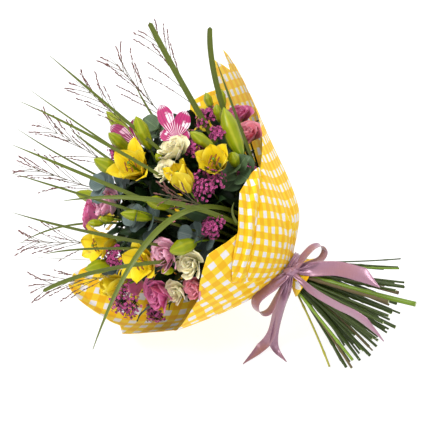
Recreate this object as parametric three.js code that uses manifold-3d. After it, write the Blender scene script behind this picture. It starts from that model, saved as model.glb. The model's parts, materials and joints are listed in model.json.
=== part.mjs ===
import * as THREE from "three";
import Module from "manifold-3d";

// A hand-tied mixed bouquet that lies on a table: lilies, lisianthus, sea lavender, eucalyptus, switch grass,
// long grass blades and two butterfly picks, rolled in a gingham wrap and tied with a satin ribbon.
// Millimetres, +Z up, the heads towards -X and the cut stems towards +X.

const wasm = await Module();
wasm.setup();

// Driving dimensions. The bouquet's own origin is the binding point, where the ribbon ties the stems.
const AXIS_TILT = 20; // degrees that the axis rises towards the heads
const BINDING_HEIGHT = 149; // the binding point above the table
const BUNDLE_RADIUS = 17; // the stems where they are tied
const THICK_STEM = 3; // the radius that the outermost stem centres keep from the bundle's edge
const STEM_LENGTH = 205; // from the binding to the cut ends
const STEM_SPREAD = 0.74; // how far the cut ends lean out, as a share of the heads' lean
const WIDEST_LEAN = 60; // degrees, the lean of a stem at the rim of the bundle
const WIDEST_CUT_LEAN = 52; // degrees, the greatest lean that a stem's cut end follows
const CLEARANCE = 0.35; // between neighbouring pieces
const FINEST = 0.06; // details smaller than this are left out
const WRAP_THICKNESS = 1.2;
const RIBBON_WIDTH = 25;
const RIBBON_THICKNESS = 0.9;

const RIGHT_ANGLE = 90;

// Colours and roughnesses.
const PAINT = {
  stem: [0x3f6a25, 0.6],
  wrap: [0xf7c600, 0.65],
  ribbon: [0xbb85a3, 0.35],
  lily: [0xf4cf15, 0.5],
  pink: [0xc4558f, 0.6],
  cream: [0xe3dcb4, 0.6],
  lavender: [0x9c3f96, 0.7],
  eucalyptus: [0x5f7a6d, 0.6],
  panicle: [0x8a5a4a, 0.7],
  butterfly: [0xd0317f, 0.55],
};

const radians = THREE.MathUtils.degToRad;
const vector = (x, y, z) => new THREE.Vector3(x, y, z);
const mix = (a, b, share) => a.clone().lerp(b, share);
const TABLE = -BINDING_HEIGHT;
const AXIS = vector(-Math.cos(radians(AXIS_TILT)), 0, Math.sin(radians(AXIS_TILT)));
const TOP = vector(Math.sin(radians(AXIS_TILT)), 0, Math.cos(radians(AXIS_TILT)));
const SIDE = vector(0, -1, 0);

/** A direction that leans from the axis by lean degrees, turned from the top towards -Y by turn degrees. */
function direction(lean, turn) {
  const outward = TOP.clone()
    .multiplyScalar(Math.cos(radians(turn)))
    .addScaledVector(SIDE, Math.sin(radians(turn)));
  return AXIS.clone()
    .multiplyScalar(Math.cos(radians(lean)))
    .addScaledVector(outward, Math.sin(radians(lean)));
}

/** The place, from the binding point, that a lean, a turn and a reach give. */
const reachTo = ([lean, turn, reach]) => direction(lean, turn).multiplyScalar(reach);

/** A frame whose Z is facing, turned about it by spin degrees. */
function frameAt(origin, facing, spin = 0) {
  const beside = Math.abs(facing.dot(SIDE)) > 0.9 ? TOP : SIDE;
  const x = new THREE.Vector3().crossVectors(beside, facing).normalize();
  const y = new THREE.Vector3().crossVectors(facing, x);
  const basis = new THREE.Matrix4().makeBasis(x, y, facing).setPosition(origin);
  return basis.multiply(new THREE.Matrix4().makeRotationZ(radians(spin)));
}

/** A solid from shared points and triangles, turned so that its faces point out. */
function closedSolid(points, triangles) {
  const vertProperties = new Float32Array(points.flatMap((p) => [p.x, p.y, p.z]));
  const build = (triVerts) => new wasm.Manifold(new wasm.Mesh({ numProp: 3, vertProperties, triVerts }));
  const made = build(Uint32Array.from(triangles));
  return made.volume() > 0 ? made : build(Uint32Array.from(triangles).reverse());
}

/** A closed solid through rings of points; a ring of one point is a tip, and any other end ring is capped. */
function loft(rings) {
  const points = rings.flat();
  const starts = [];
  rings.reduce((count, ring) => (starts.push(count), count + ring.length), 0);
  const index = (r, k) => starts[r] + (k % rings[r].length);
  const triangles = [];
  for (let r = 0; r + 1 < rings.length; r++) {
    const around = Math.max(rings[r].length, rings[r + 1].length);
    for (let k = 0; k < around; k++) {
      const [a, b, c, d] = [index(r, k), index(r, k + 1), index(r + 1, k), index(r + 1, k + 1)];
      if (a !== b) triangles.push(a, b, d);
      if (c !== d) triangles.push(a, d, c);
    }
  }
  const last = rings.length - 1;
  for (let k = 1; k + 1 < rings[0].length; k++) triangles.push(index(0, 0), index(0, k + 1), index(0, k));
  for (let k = 1; k + 1 < rings[last].length; k++) {
    triangles.push(index(last, 0), index(last, k), index(last, k + 1));
  }
  return closedSolid(points, triangles);
}

/** The directions of a path at its points, each with a normal that turns as little as it can. */
function pathFrames(points) {
  let normal = null;
  return points.map((point, i) => {
    const [before, after] = [points[Math.max(i - 1, 0)], points[Math.min(i + 1, points.length - 1)]];
    const tangent = after.clone().sub(before).normalize();
    normal ??= Math.abs(tangent.z) < 0.8 ? vector(0, 0, 1) : vector(1, 0, 0);
    normal = normal.clone().addScaledVector(tangent, -normal.dot(tangent)).normalize();
    return { point, tangent, normal, across: new THREE.Vector3().crossVectors(tangent, normal) };
  });
}

/** A round stalk along a path; radii has one value for each point, and zero makes a tip. */
function stalk(points, radii, sides, grow = 0) {
  const rings = pathFrames(points).map(({ point, tangent, normal, across }, i) => {
    if (radii[i] === 0) return [point.clone()];
    const end = i === 0 ? -grow : i === points.length - 1 ? grow : 0;
    return Array.from({ length: sides }, (_, k) => {
      const angle = (2 * Math.PI * k) / sides;
      return point
        .clone()
        .addScaledVector(tangent, end)
        .addScaledVector(normal, (radii[i] + grow) * Math.cos(angle))
        .addScaledVector(across, (radii[i] + grow) * Math.sin(angle));
    });
  });
  return loft(rings);
}

/** A leaf or petal with a keel: stations give a point, half the width across, the way it faces, its cup. */
function blade(stations, thickness, grow = 0) {
  const last = stations.length - 1;
  const rings = stations.map(({ point, across, facing, cup = 0 }, i) => {
    const past = i === 0 ? stations[1].point : i === last ? stations[last - 1].point : point;
    const end = past !== point;
    const middle = end ? point.clone().add(point.clone().sub(past).setLength(2 * grow)) : point.clone();
    if (!across) return [middle];
    const wide = across.clone().setLength(across.length() + 2 * grow);
    const keel = middle.clone().addScaledVector(facing, -thickness - 1.5 * grow);
    const [high, low] = [cup + grow, cup - grow].map((depth) => {
      return middle.clone().addScaledVector(facing, depth);
    });
    if (grow === 0) return [keel, high.clone().add(wide), high.clone().sub(wide)];
    return [
      keel, low.clone().add(wide), high.clone().add(wide), high.clone().sub(wide), low.clone().sub(wide),
    ];
  });
  return loft(rings);
}

/**
 * A petal in a head's frame, turned round its axis. It leaves a foot beside the axis at lean degrees from it,
 * bends by curl degrees to its tip, and its widths are shares of the full width at even steps.
 */
function petal(frame, turn, shape, grow = 0) {
  const { length, width, lean, curl, cup, foot, twist = 0, widths, rise = 0, thickness = 1.3 } = shape;
  const steps = widths.length - 1;
  const place = frame.clone().multiply(new THREE.Matrix4().makeRotationZ(radians(turn)));
  const point = vector(foot, 0, rise);
  const stations = widths.map((share, i) => {
    const angle = radians(lean + (curl * i) / steps);
    if (i > 0) point.addScaledVector(vector(Math.sin(angle), 0, Math.cos(angle)), length / steps);
    const facing = vector(-Math.cos(angle), Math.sin(radians(twist)), Math.sin(angle)).normalize();
    const across = vector(-Math.sin(radians(twist)), 1, 0).setLength((share * width) / 2);
    return {
      point: point.clone().applyMatrix4(place),
      across: share > 0 ? across.transformDirection(place).setLength((share * width) / 2) : null,
      facing: facing.transformDirection(place),
      cup: cup * share,
    };
  });
  return blade(stations, thickness, grow);
}

/** A spindle in a head's frame: [height, radius] pairs from foot to tip, with ribs as a share of it. */
function spindle(frame, profile, sides, grow = 0, ribs = 0) {
  const rings = profile.map(([height, radius]) => {
    if (radius === 0) return [vector(0, 0, height + grow).applyMatrix4(frame)];
    return Array.from({ length: sides }, (_, k) => {
      const angle = (2 * Math.PI * k) / sides;
      const wide = radius * (1 + (k % 2 ? -ribs : ribs)) + grow;
      return vector(wide * Math.cos(angle), wide * Math.sin(angle), height).applyMatrix4(frame);
    });
  });
  return loft(rings);
}

/** Points spread evenly over a cap of the unit sphere round Z, down to the lowest height given. */
function capPoints(count, lowest) {
  return Array.from({ length: count }, (_, i) => {
    const height = 1 - ((i + 0.5) / count) * (1 - lowest);
    const angle = i * Math.PI * (3 - Math.sqrt(5));
    const wide = Math.sqrt(1 - height * height);
    return vector(wide * Math.cos(angle), wide * Math.sin(angle), height);
  });
}

const join = (solids) => wasm.Manifold.union(solids);

// Heads. Each stands on its seat, faces along its frame's Z, and can be grown to clear its neighbours.

/** A lily: three outer and three inner pointed tepals round a pistil, from a trumpet to a star. */
function lily(frame, { open, length = 74 }, grow) {
  const outer = {
    length, width: 24 + 3 * open, lean: 17 + 18 * open, curl: 60 * open - 4, cup: 0.8, foot: 4.5,
    widths: [0.2, 0.9, 1, 0], thickness: 1.5,
  };
  const inner = {
    ...outer, length: 0.97 * length, width: 26 + 5 * open, lean: outer.lean - 8, cup: 1.8, foot: 3.5,
  };
  const tepals = Array.from({ length: 6 }, (_, k) => petal(frame, k * 60, k % 2 ? inner : outer, grow));
  return join([...tepals, spindle(frame, [[0, 5], [7, 6], [length * 0.75, 0]], 6, grow)]);
}

/** A lily bud: a closed spindle with the tepals' three ridges. */
function lilyBud(frame, { length, width }) {
  const profile = [[0, 3], [0.25 * length, 0.42 * width], [0.62 * length, 0.5 * width], [length, 0]];
  return spindle(frame, profile, 6, 0, 0.09);
}

/** A lisianthus: a bowl of broad petals that lap like a pinwheel, in two rings round a heart. */
function lisianthus(frame, { size, open = 0.5 }, grow) {
  const outer = {
    length: size * 0.86, width: size * (0.62 + 0.16 * open), lean: 46 + 12 * open, curl: -46 + 34 * open,
    cup: size * 0.04, foot: 5, twist: 20, widths: [0.1, 0.95, 0.8], thickness: 1.1,
  };
  const inner = {
    length: size * 0.66, width: size * 0.36, lean: 18 + 6 * open, curl: -14 + 6 * open,
    cup: size * 0.03, foot: 3, twist: 24, widths: [0.2, 0.9, 0.8], rise: 5, thickness: 1.1,
  };
  const petals = [
    ...Array.from({ length: 5 }, (_, k) => petal(frame, k * 72, outer, grow)),
    ...Array.from({ length: 3 }, (_, k) => petal(frame, 30 + k * 120, inner, grow)),
  ];
  const turned = frame.clone().multiply(new THREE.Matrix4().makeRotationZ(radians(36)));
  return join([...petals, spindle(turned, [[-1, 6], [4, 7.5], [0.7 * size, 0]], 5, grow)]);
}

/** A cluster of sea lavender: small flaring cups that stand out all round a core. */
function seaLavender(frame, { radius, florets }, grow) {
  const core = spindle(frame, [[0, 1.5], [0.5 * radius, 0.52 * radius], [1.2 * radius, 0]], 6, grow);
  const centre = vector(0, 0, 0.6 * radius);
  const cups = capPoints(florets, -0.35).map((out) => {
    const reach = vector(out.x, out.y, out.z * 0.95).multiplyScalar(radius);
    const facing = out.clone().transformDirection(frame);
    const foot = centre.clone().addScaledVector(reach, 0.2).applyMatrix4(frame);
    const mouth = centre.clone().add(reach).applyMatrix4(frame).addScaledVector(facing, 1);
    return stalk([foot, mouth], [0, 3.4], 3, grow);
  });
  return join([core, ...cups]);
}

/** A sprig of round eucalyptus leaves in pairs on a thin stem: leaves gives [height, turn, breadth, tilt]. */
function eucalyptus(frame, { length, leaves }, grow) {
  const tip = vector(0, 0, length).applyMatrix4(frame);
  const foot = vector(0, 0, 0).applyMatrix4(frame);
  const stem = stalk([foot, tip], [1.3, 1], 4, grow);
  const blades = leaves.map(([height, turn, breadth, tilt]) => {
    const shape = {
      length: breadth, width: breadth * 0.92, lean: tilt, curl: 14, cup: 2.5, foot: 0.6,
      widths: [0.06, 0.86, 0.95, 0], rise: height,
    };
    return petal(frame, turn, shape, grow);
  });
  return join([stem, ...blades]);
}

/** An airy switch grass panicle: a hair-thin stalk with branches that each end in a spikelet. */
function panicle(frame, { length, branches, splay }, grow) {
  const onFrame = (x, y, z) => vector(x, y, z).applyMatrix4(frame);
  const rib = [onFrame(0, 0, 0), onFrame(0, 0, length * 0.5), onFrame(0, length * 0.05, length)];
  const parts = [stalk(rib, [0.9, 0.8, 0], 3, grow)];
  for (let k = 0; k < branches; k++) {
    const share = (k + 1) / (branches + 1);
    const angle = radians(k * 137.5);
    const [reach, climb] = [splay * length * (0.5 - 0.22 * share), length * (0.42 - 0.12 * share)];
    const out = vector(reach * Math.cos(angle), reach * Math.sin(angle), climb);
    const height = length * (0.15 + 0.7 * share);
    const foot = vector(0, Math.max(0.1 * (height - length * 0.5), 0), height);
    const along = (distance) => {
      return foot.clone().addScaledVector(out, distance / out.length()).applyMatrix4(frame);
    };
    const full = out.length();
    parts.push(stalk(
      [along(0), along(full - 7), along(full - 3), along(full + 2)], [0.65, 0.6, 1.6, 0], 3, grow,
    ));
  }
  return join(parts);
}

/** A butterfly pick: two pairs of flat wings that spread from a slim body, with its wire seated on a stem. */
function butterfly(frame, { span }, grow) {
  const wing = (turn, length, width, lean, rise) => {
    const widths = [0.16, 0.6, 1, 0.5];
    return petal(
      frame, turn, { length, width, lean, curl: 0, cup: 0, foot: 0.8, widths, rise, thickness: 1 }, grow,
    );
  };
  const wings = [
    wing(27, span * 0.64, span * 0.27, 76, 2.6),
    wing(-27, span * 0.52, span * 0.27, 66, 3),
    wing(62, span * 0.3, span * 0.2, 80, 2),
    wing(-62, span * 0.28, span * 0.2, 70, 2.4),
  ];
  const lengthwise = new THREE.Matrix4().makeRotationY(Math.PI / 2).setPosition(-12, 0, 2.2);
  const body = spindle(frame.clone().multiply(lengthwise), [[0, 1.2], [8, 2.2], [18, 2.4], [26, 0]], 4, grow);
  return join([body, ...wings]);
}

// The arrangement. A seat is [lean, turn, reach]: degrees from the axis, degrees round it and millimetres
// from the binding point. A head faces [lean, turn]. Stem gives the stalk's radius, and from names a head
// whose stalk this one branches from.
const HEADS = [
  {
    name: "lily_1", kind: lily, seat: [24, 36, 320], face: [60, 38], length: 66, open: 0.6, stem: 2.4,
    spin: 30,
  },
  { name: "lily_2", kind: lily, seat: [39, 33, 268], face: [43, 8], length: 58, open: 0.12, stem: 2.2 },
  { name: "lily_3", kind: lily, seat: [42, 14, 252], face: [70, 26], length: 54, open: 0.5, stem: 2.4 },
  { name: "lily_4", kind: lily, seat: [30, -62, 275], face: [40, -50], length: 60, open: 0.3, stem: 2.4 },
  { name: "lily_5", kind: lily, seat: [27, 91, 315], face: [54, 84], length: 58, open: 0.5, stem: 2.4 },
  {
    name: "lily_6", kind: lily, seat: [39, 80, 265], face: [66, 62], length: 58, open: 0.6, stem: 2.4,
    spin: 30,
  },
  {
    name: "lily_7", kind: lily, seat: [38, 106, 288], face: [46, 88], length: 50, open: 0.2, stem: 2.2,
    from: "lily_5",
  },
  { name: "lily_8", kind: lily, seat: [20, 186, 325], face: [34, 190], open: 0.6, stem: 2.4 },
  { name: "lily_9", kind: lily, seat: [36, 236, 285], face: [48, 240], open: 0.45, stem: 2.4 },
  {
    name: "pink_lisianthus_1", kind: lisianthus, seat: [43, -36, 234], face: [43, -24], size: 38,
    open: 0.3, stem: 1.9,
  },
  {
    name: "pink_lisianthus_2", kind: lisianthus, seat: [41, -49, 271], face: [41, -44], size: 34,
    open: 0.4, stem: 1.9,
  },
  {
    name: "pink_lisianthus_3", kind: lisianthus, seat: [43, 68, 250], face: [58, 72], size: 38,
    open: 0.5, stem: 1.9,
  },
  {
    name: "pink_lisianthus_4", kind: lisianthus, seat: [46, 94, 235], face: [64, 92], size: 42,
    open: 0.5, stem: 1.9,
  },
  {
    name: "pink_lisianthus_5", kind: lisianthus, seat: [53, 80, 198], face: [70, 82], size: 38,
    open: 0.6, stem: 1.9,
  },
  {
    name: "pink_lisianthus_6", kind: lisianthus, seat: [22, 68, 330], face: [34, 62], size: 40,
    open: 0.6, stem: 1.9,
  },
  {
    name: "pink_lisianthus_7", kind: lisianthus, seat: [16, 106, 345], face: [24, 108], size: 36,
    open: 0.5, stem: 1.9,
  },
  {
    name: "pink_lisianthus_8", kind: lisianthus, seat: [37, 160, 275], face: [48, 162], size: 40,
    open: 0.5, stem: 1.9,
  },
  {
    name: "pink_lisianthus_9", kind: lisianthus, seat: [40, 208, 260], face: [52, 208], size: 40,
    open: 0.5, stem: 1.9,
  },
  {
    name: "pink_lisianthus_10", kind: lisianthus, seat: [27, 276, 315], face: [36, 276], size: 40,
    open: 0.5, stem: 1.9,
  },
  {
    name: "cream_lisianthus_1", kind: lisianthus, seat: [32, 17, 300], face: [44, 12], size: 38,
    open: 0.5, stem: 1.9,
  },
  {
    name: "cream_lisianthus_2", kind: lisianthus, seat: [33, 30, 298], face: [46, 36], size: 28,
    open: 0.5, stem: 1.6, from: "cream_lisianthus_1",
  },
  {
    name: "cream_lisianthus_3", kind: lisianthus, seat: [50, 66, 222], face: [64, 62], size: 33,
    open: 0.5, stem: 1.9,
  },
  {
    name: "cream_lisianthus_4", kind: lisianthus, seat: [50, 87, 222], face: [64, 80], size: 27,
    open: 0.5, stem: 1.6, from: "pink_lisianthus_5",
  },
  {
    name: "cream_lisianthus_5", kind: lisianthus, seat: [25, 222, 325], face: [34, 222], size: 38,
    open: 0.5, stem: 1.9,
  },
  {
    name: "cream_lisianthus_6", kind: lisianthus, seat: [31, 296, 292], face: [40, 294], size: 36,
    open: 0.5, stem: 1.9,
  },
  {
    name: "sea_lavender_1", kind: seaLavender, seat: [42, 26, 238], face: [58, 24], radius: 27,
    florets: 17, stem: 1.4,
  },
  {
    name: "sea_lavender_2", kind: seaLavender, seat: [47, 44, 208], face: [64, 44], radius: 17,
    florets: 12, stem: 1.2,
  },
  {
    name: "sea_lavender_3", kind: seaLavender, seat: [36, 10, 282], face: [48, 14], radius: 16,
    florets: 11, stem: 1.2,
  },
  {
    name: "sea_lavender_4", kind: seaLavender, seat: [39, -6, 272], face: [52, 0], radius: 13,
    florets: 9, stem: 1.2,
  },
  {
    name: "sea_lavender_5", kind: seaLavender, seat: [42, 105, 269], face: [58, 102], radius: 32,
    florets: 18, stem: 1.4,
  },
  {
    name: "sea_lavender_6", kind: seaLavender, seat: [34, 88, 306], face: [50, 84], radius: 16,
    florets: 11, stem: 1.2,
  },
  {
    name: "sea_lavender_7", kind: seaLavender, seat: [47, 2, 208], face: [60, 2], radius: 15,
    florets: 11, stem: 1.2,
  },
  {
    name: "sea_lavender_8", kind: seaLavender, seat: [34, -18, 285], face: [46, -16], radius: 20,
    florets: 12, stem: 1.3,
  },
  {
    name: "sea_lavender_9", kind: seaLavender, seat: [47, 128, 232], face: [62, 126], radius: 18,
    florets: 11, stem: 1.2,
  },
  {
    name: "sea_lavender_10", kind: seaLavender, seat: [17, 28, 352], face: [26, 30], radius: 17,
    florets: 12, stem: 1.2,
  },
  {
    name: "sea_lavender_11", kind: seaLavender, seat: [44, 184, 250], face: [56, 184], radius: 22,
    florets: 12, stem: 1.3,
  },
  {
    name: "sea_lavender_12", kind: seaLavender, seat: [41, 262, 262], face: [54, 262], radius: 22,
    florets: 12, stem: 1.3,
  },
  {
    name: "eucalyptus_1", kind: eucalyptus, seat: [17, 60, 325], face: [58, 52], length: 44, stem: 1.5,
    leaves: [[12, 0, 40, 64], [16, 180, 40, 60], [30, 80, 36, 60], [36, 260, 34, 56]],
  },
  {
    name: "eucalyptus_2", kind: eucalyptus, seat: [33, 58, 265], face: [40, 66], length: 46, stem: 1.5,
    leaves: [[18, 70, 38, 48], [24, 250, 40, 52], [42, 160, 34, 40], [44, 340, 30, 34]],
  },
  {
    name: "eucalyptus_3", kind: eucalyptus, seat: [22, -2, 300], face: [48, 20], length: 44, stem: 1.5,
    leaves: [[14, 20, 40, 60], [20, 200, 38, 60], [34, 290, 34, 50], [40, 110, 30, 50]],
  },
  {
    name: "eucalyptus_4", kind: eucalyptus, seat: [45, 6, 210], face: [62, 30], length: 34, stem: 1.5,
    leaves: [[10, 0, 36, 62], [14, 180, 34, 62], [26, 90, 34, 58], [30, 270, 26, 50]],
  },
  {
    name: "eucalyptus_5", kind: eucalyptus, seat: [42, 52, 175], face: [48, 60], length: 52, stem: 1.5,
    leaves: [[16, 40, 38, 50], [22, 220, 38, 50], [46, 130, 36, 44], [50, 310, 30, 36]],
  },
  {
    name: "eucalyptus_6", kind: eucalyptus, seat: [30, 148, 280], face: [36, 150], length: 50, stem: 1.5,
    leaves: [[20, 60, 38, 46], [26, 240, 38, 46], [46, 150, 32, 36], [48, 330, 28, 30]],
  },
  {
    name: "eucalyptus_7", kind: eucalyptus, seat: [20, 300, 268], face: [26, 300], length: 52, stem: 1.5,
    leaves: [[20, 60, 38, 44], [26, 240, 38, 44], [46, 150, 32, 36], [50, 330, 28, 30]],
  },
  {
    name: "eucalyptus_8", kind: eucalyptus, seat: [41, 232, 228], face: [48, 234], length: 50, stem: 1.5,
    leaves: [[20, 60, 38, 44], [26, 240, 38, 44], [46, 150, 32, 36], [50, 330, 28, 30]],
  },
  {
    name: "eucalyptus_9", kind: eucalyptus, seat: [29, 176, 262], face: [34, 178], length: 50, stem: 1.5,
    leaves: [[20, 30, 38, 44], [26, 210, 38, 44], [46, 120, 32, 36], [50, 300, 28, 30]],
  },
  {
    name: "butterfly_1", kind: butterfly, seat: [32, 11, 318], face: [75, 42], span: 98, stem: 0.8,
    spin: -74,
  },
  {
    name: "butterfly_2", kind: butterfly, seat: [21, 18, 344], face: [75, 42], span: 90, stem: 0.8,
    spin: -45,
  },
  {
    name: "panicle_1", kind: panicle, seat: [30, -34, 330], face: [32, -30], length: 165, branches: 5,
    splay: 0.85, stem: 1,
  },
  {
    name: "panicle_2", kind: panicle, seat: [24, -12, 345], face: [25, -8], length: 150, branches: 5,
    splay: 0.9, stem: 1,
  },
  {
    name: "panicle_3", kind: panicle, seat: [13, -14, 365], face: [16, -16], length: 140, branches: 5,
    splay: 0.9, stem: 1,
  },
  {
    name: "panicle_4", kind: panicle, seat: [11, 44, 360], face: [14, 30], length: 155, branches: 5,
    splay: 0.8, stem: 1,
  },
  {
    name: "panicle_5", kind: panicle, seat: [9, 104, 365], face: [16, 84], length: 150, branches: 5,
    splay: 0.85, stem: 1,
  },
  {
    name: "panicle_6", kind: panicle, seat: [23, 128, 345], face: [28, 118], length: 140, branches: 5,
    splay: 0.85, stem: 1,
  },
  {
    name: "panicle_7", kind: panicle, seat: [33, 122, 310], face: [38, 112], length: 150, branches: 5,
    splay: 0.8, stem: 1,
  },
  {
    name: "panicle_8", kind: panicle, seat: [45, 36, 245], face: [36, 60], length: 95, branches: 5,
    splay: 0.9, stem: 1,
  },
];

// Buds are as green as their stems and grow in one piece with them.
const BUDS = [
  { seat: [25, 19, 335], face: [52, 4], length: 68, width: 25, from: "lily_1" },
  { seat: [19, 24, 350], face: [46, 32], length: 62, width: 21, from: "lily_1" },
  { seat: [22, 44, 345], face: [40, 44], length: 66, width: 25, from: "lily_1" },
  { seat: [40, 5, 275], face: [40, 38], length: 60, width: 21, from: "lily_3" },
  { seat: [45, -4, 238], face: [40, -40], length: 86, width: 31 },
  { seat: [46, 6, 236], face: [68, 22], length: 46, width: 20, from: "lily_3" },
  { seat: [36, 46, 280], face: [58, 52], length: 60, width: 22, from: "lily_2" },
  { seat: [35, 56, 292], face: [46, 66], length: 66, width: 19, from: "lily_2" },
  { seat: [47, 56, 235], face: [64, 78], length: 60, width: 26 },
  { seat: [34, 94, 310], face: [54, 82], length: 66, width: 24, from: "lily_5" },
  { seat: [12, 168, 352], face: [20, 165], length: 64, width: 23, from: "lily_8" },
  { seat: [30, 256, 320], face: [40, 262], length: 64, width: 23, from: "lily_9" },
  { seat: [10, 330, 360], face: [16, 325], length: 64, width: 23 },
  { seat: [23, 86, 340], face: [36, 92], length: 28, width: 14, from: "pink_lisianthus_6" },
  { seat: [26, 74, 332], face: [44, 70], length: 26, width: 13, from: "pink_lisianthus_6" },
  { seat: [38, -18, 290], face: [54, -10], length: 34, width: 17, from: "pink_lisianthus_1" },
  { seat: [38, -38, 305], face: [48, -34], length: 34, width: 16, from: "pink_lisianthus_1" },
  { seat: [34, -40, 312], face: [40, -34], length: 30, width: 15, from: "pink_lisianthus_2" },
  { seat: [46, 76, 245], face: [62, 66], length: 28, width: 14, from: "pink_lisianthus_3" },
  { seat: [29, 24, 310], face: [40, 22], length: 24, width: 12, from: "cream_lisianthus_1" },
];

// Grass blades: the way they leave the heads, their tip, and their greatest width. A cut tip is blunt, and a
// twist turns the blade's flat side round the bouquet's axis.
const BLADES = [
  { by: [33, -14, 330], tip: [37, -7, 498], width: 12, cut: true, twist: 50 },
  { by: [36, -21, 322], tip: [46, -15, 450], width: 12, cut: true, twist: 55 },
  { by: [30, 21, 359], tip: [26, 18, 559], width: 8 },
  { by: [37, 33, 374], tip: [28, 39, 563], width: 7 },
  { by: [18, 31, 361], tip: [11, 19, 543], width: 5 },
  { by: [40, 48, 379], tip: [31, 52, 548], width: 8 },
  { by: [19, 61, 352], tip: [13, 55, 528], width: 5 },
  { by: [39, 54, 357], tip: [32, 60, 532], width: 6 },
  { by: [44, 66, 350], tip: [36, 69, 518], width: 8 },
  { by: [14, 79, 350], tip: [25, 128, 474], width: 6 },
  { by: [40, 68, 354], tip: [36, 85, 443], width: 6 },
  { by: [28, 128, 335], tip: [28, 141, 478], width: 7 },
  { by: [45, 67, 346], tip: [48, 80, 476], width: 9, cut: true },
  { by: [57, 32, 333], tip: [32, 64, 436], width: 11 },
  { by: [48, 19, 334], bend: [47, 55, 364], tip: [61, 85, 430], width: 12 },
  { by: [46, -11, 220], tip: [48, -6, 407], width: 7 },
  { by: [53, 42, 215], tip: [58, 30, 258], width: 6 },
  { by: [16, 220, 365], tip: [20, 228, 520], width: 8 },
  { by: [26, 252, 340], tip: [30, 262, 500], width: 9 },
];

// A blade's widths at even steps, as shares of its greatest width, and how far it arches out.
const POINTED_BLADE = [0.3, 0.75, 1, 0.75, 0];
const CUT_BLADE = [0.3, 0.7, 1, 1, 0.8];
const BENT_BLADE = [0.3, 0.6, 0.95, 1, 0.85, 0.5, 0];
const BLADE_ARCH = 1.04;

// Stems. The cut ends that no head or blade explains: the way they leave the tie, and how thick they are.
const CUT_STEMS = [
  { turn: 191, spread: 30, length: 236, radius: 4.4 },
  { turn: -37, spread: 39.5, length: 196, radius: 1.9 },
  { turn: 214, spread: 22, length: 214, radius: 3 },
];

/** Where a stalk of that lean and turn crosses the tie: the stems pass it in a spiral, side by side. */
function slot(lean, turn) {
  const share = Math.min(lean / WIDEST_LEAN, 1);
  const round = direction(RIGHT_ANGLE, turn - RIGHT_ANGLE);
  return round.multiplyScalar((BUNDLE_RADIUS - THICK_STEM) * Math.sqrt(share));
}

/** Keeps a point on or above the table. */
const aboveTable = (point) => point.setZ(Math.max(point.z, TABLE));

/** A point part of the way along a path. */
function pointOn(path, share) {
  const place = share * (path.length - 1);
  const i = Math.min(Math.floor(place), path.length - 2);
  return mix(path[i], path[i + 1], place - i);
}

/** A stem from the tie in a bend to its head, or a branch that leaves the stem of another head. */
function stemPath(seat, face, origin) {
  const [lean, turn, reach] = seat;
  const end = direction(lean, turn).multiplyScalar(reach).addScaledVector(face, -2 * CLEARANCE);
  const start = origin ? pointOn(origin, 0.7) : slot(lean, turn);
  const span = start.distanceTo(end);
  const leave = mix(start, end, 0.45);
  const arrive = end.clone().addScaledVector(face, -0.3 * span);
  return new THREE.CubicBezierCurve3(start, leave, arrive, end).getPoints(origin ? 1 : 2);
}

/** The cut end that a stem of that lean and turn has below the tie. */
function cutEnd(lean, turn, number) {
  const spread = Math.min(lean, WIDEST_CUT_LEAN) * STEM_SPREAD;
  const length = STEM_LENGTH * (number % 7 === 3 ? 0.8 : 0.94 + 0.012 * (number % 6));
  const end = slot(lean, turn).addScaledVector(direction(spread, turn), -length);
  return end.setZ(Math.max(end.z, TABLE + 4));
}

const paths = new Map();
for (const { name, seat, face, from } of HEADS) {
  paths.set(name, stemPath(seat, direction(...face), from && paths.get(from)));
}

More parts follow.
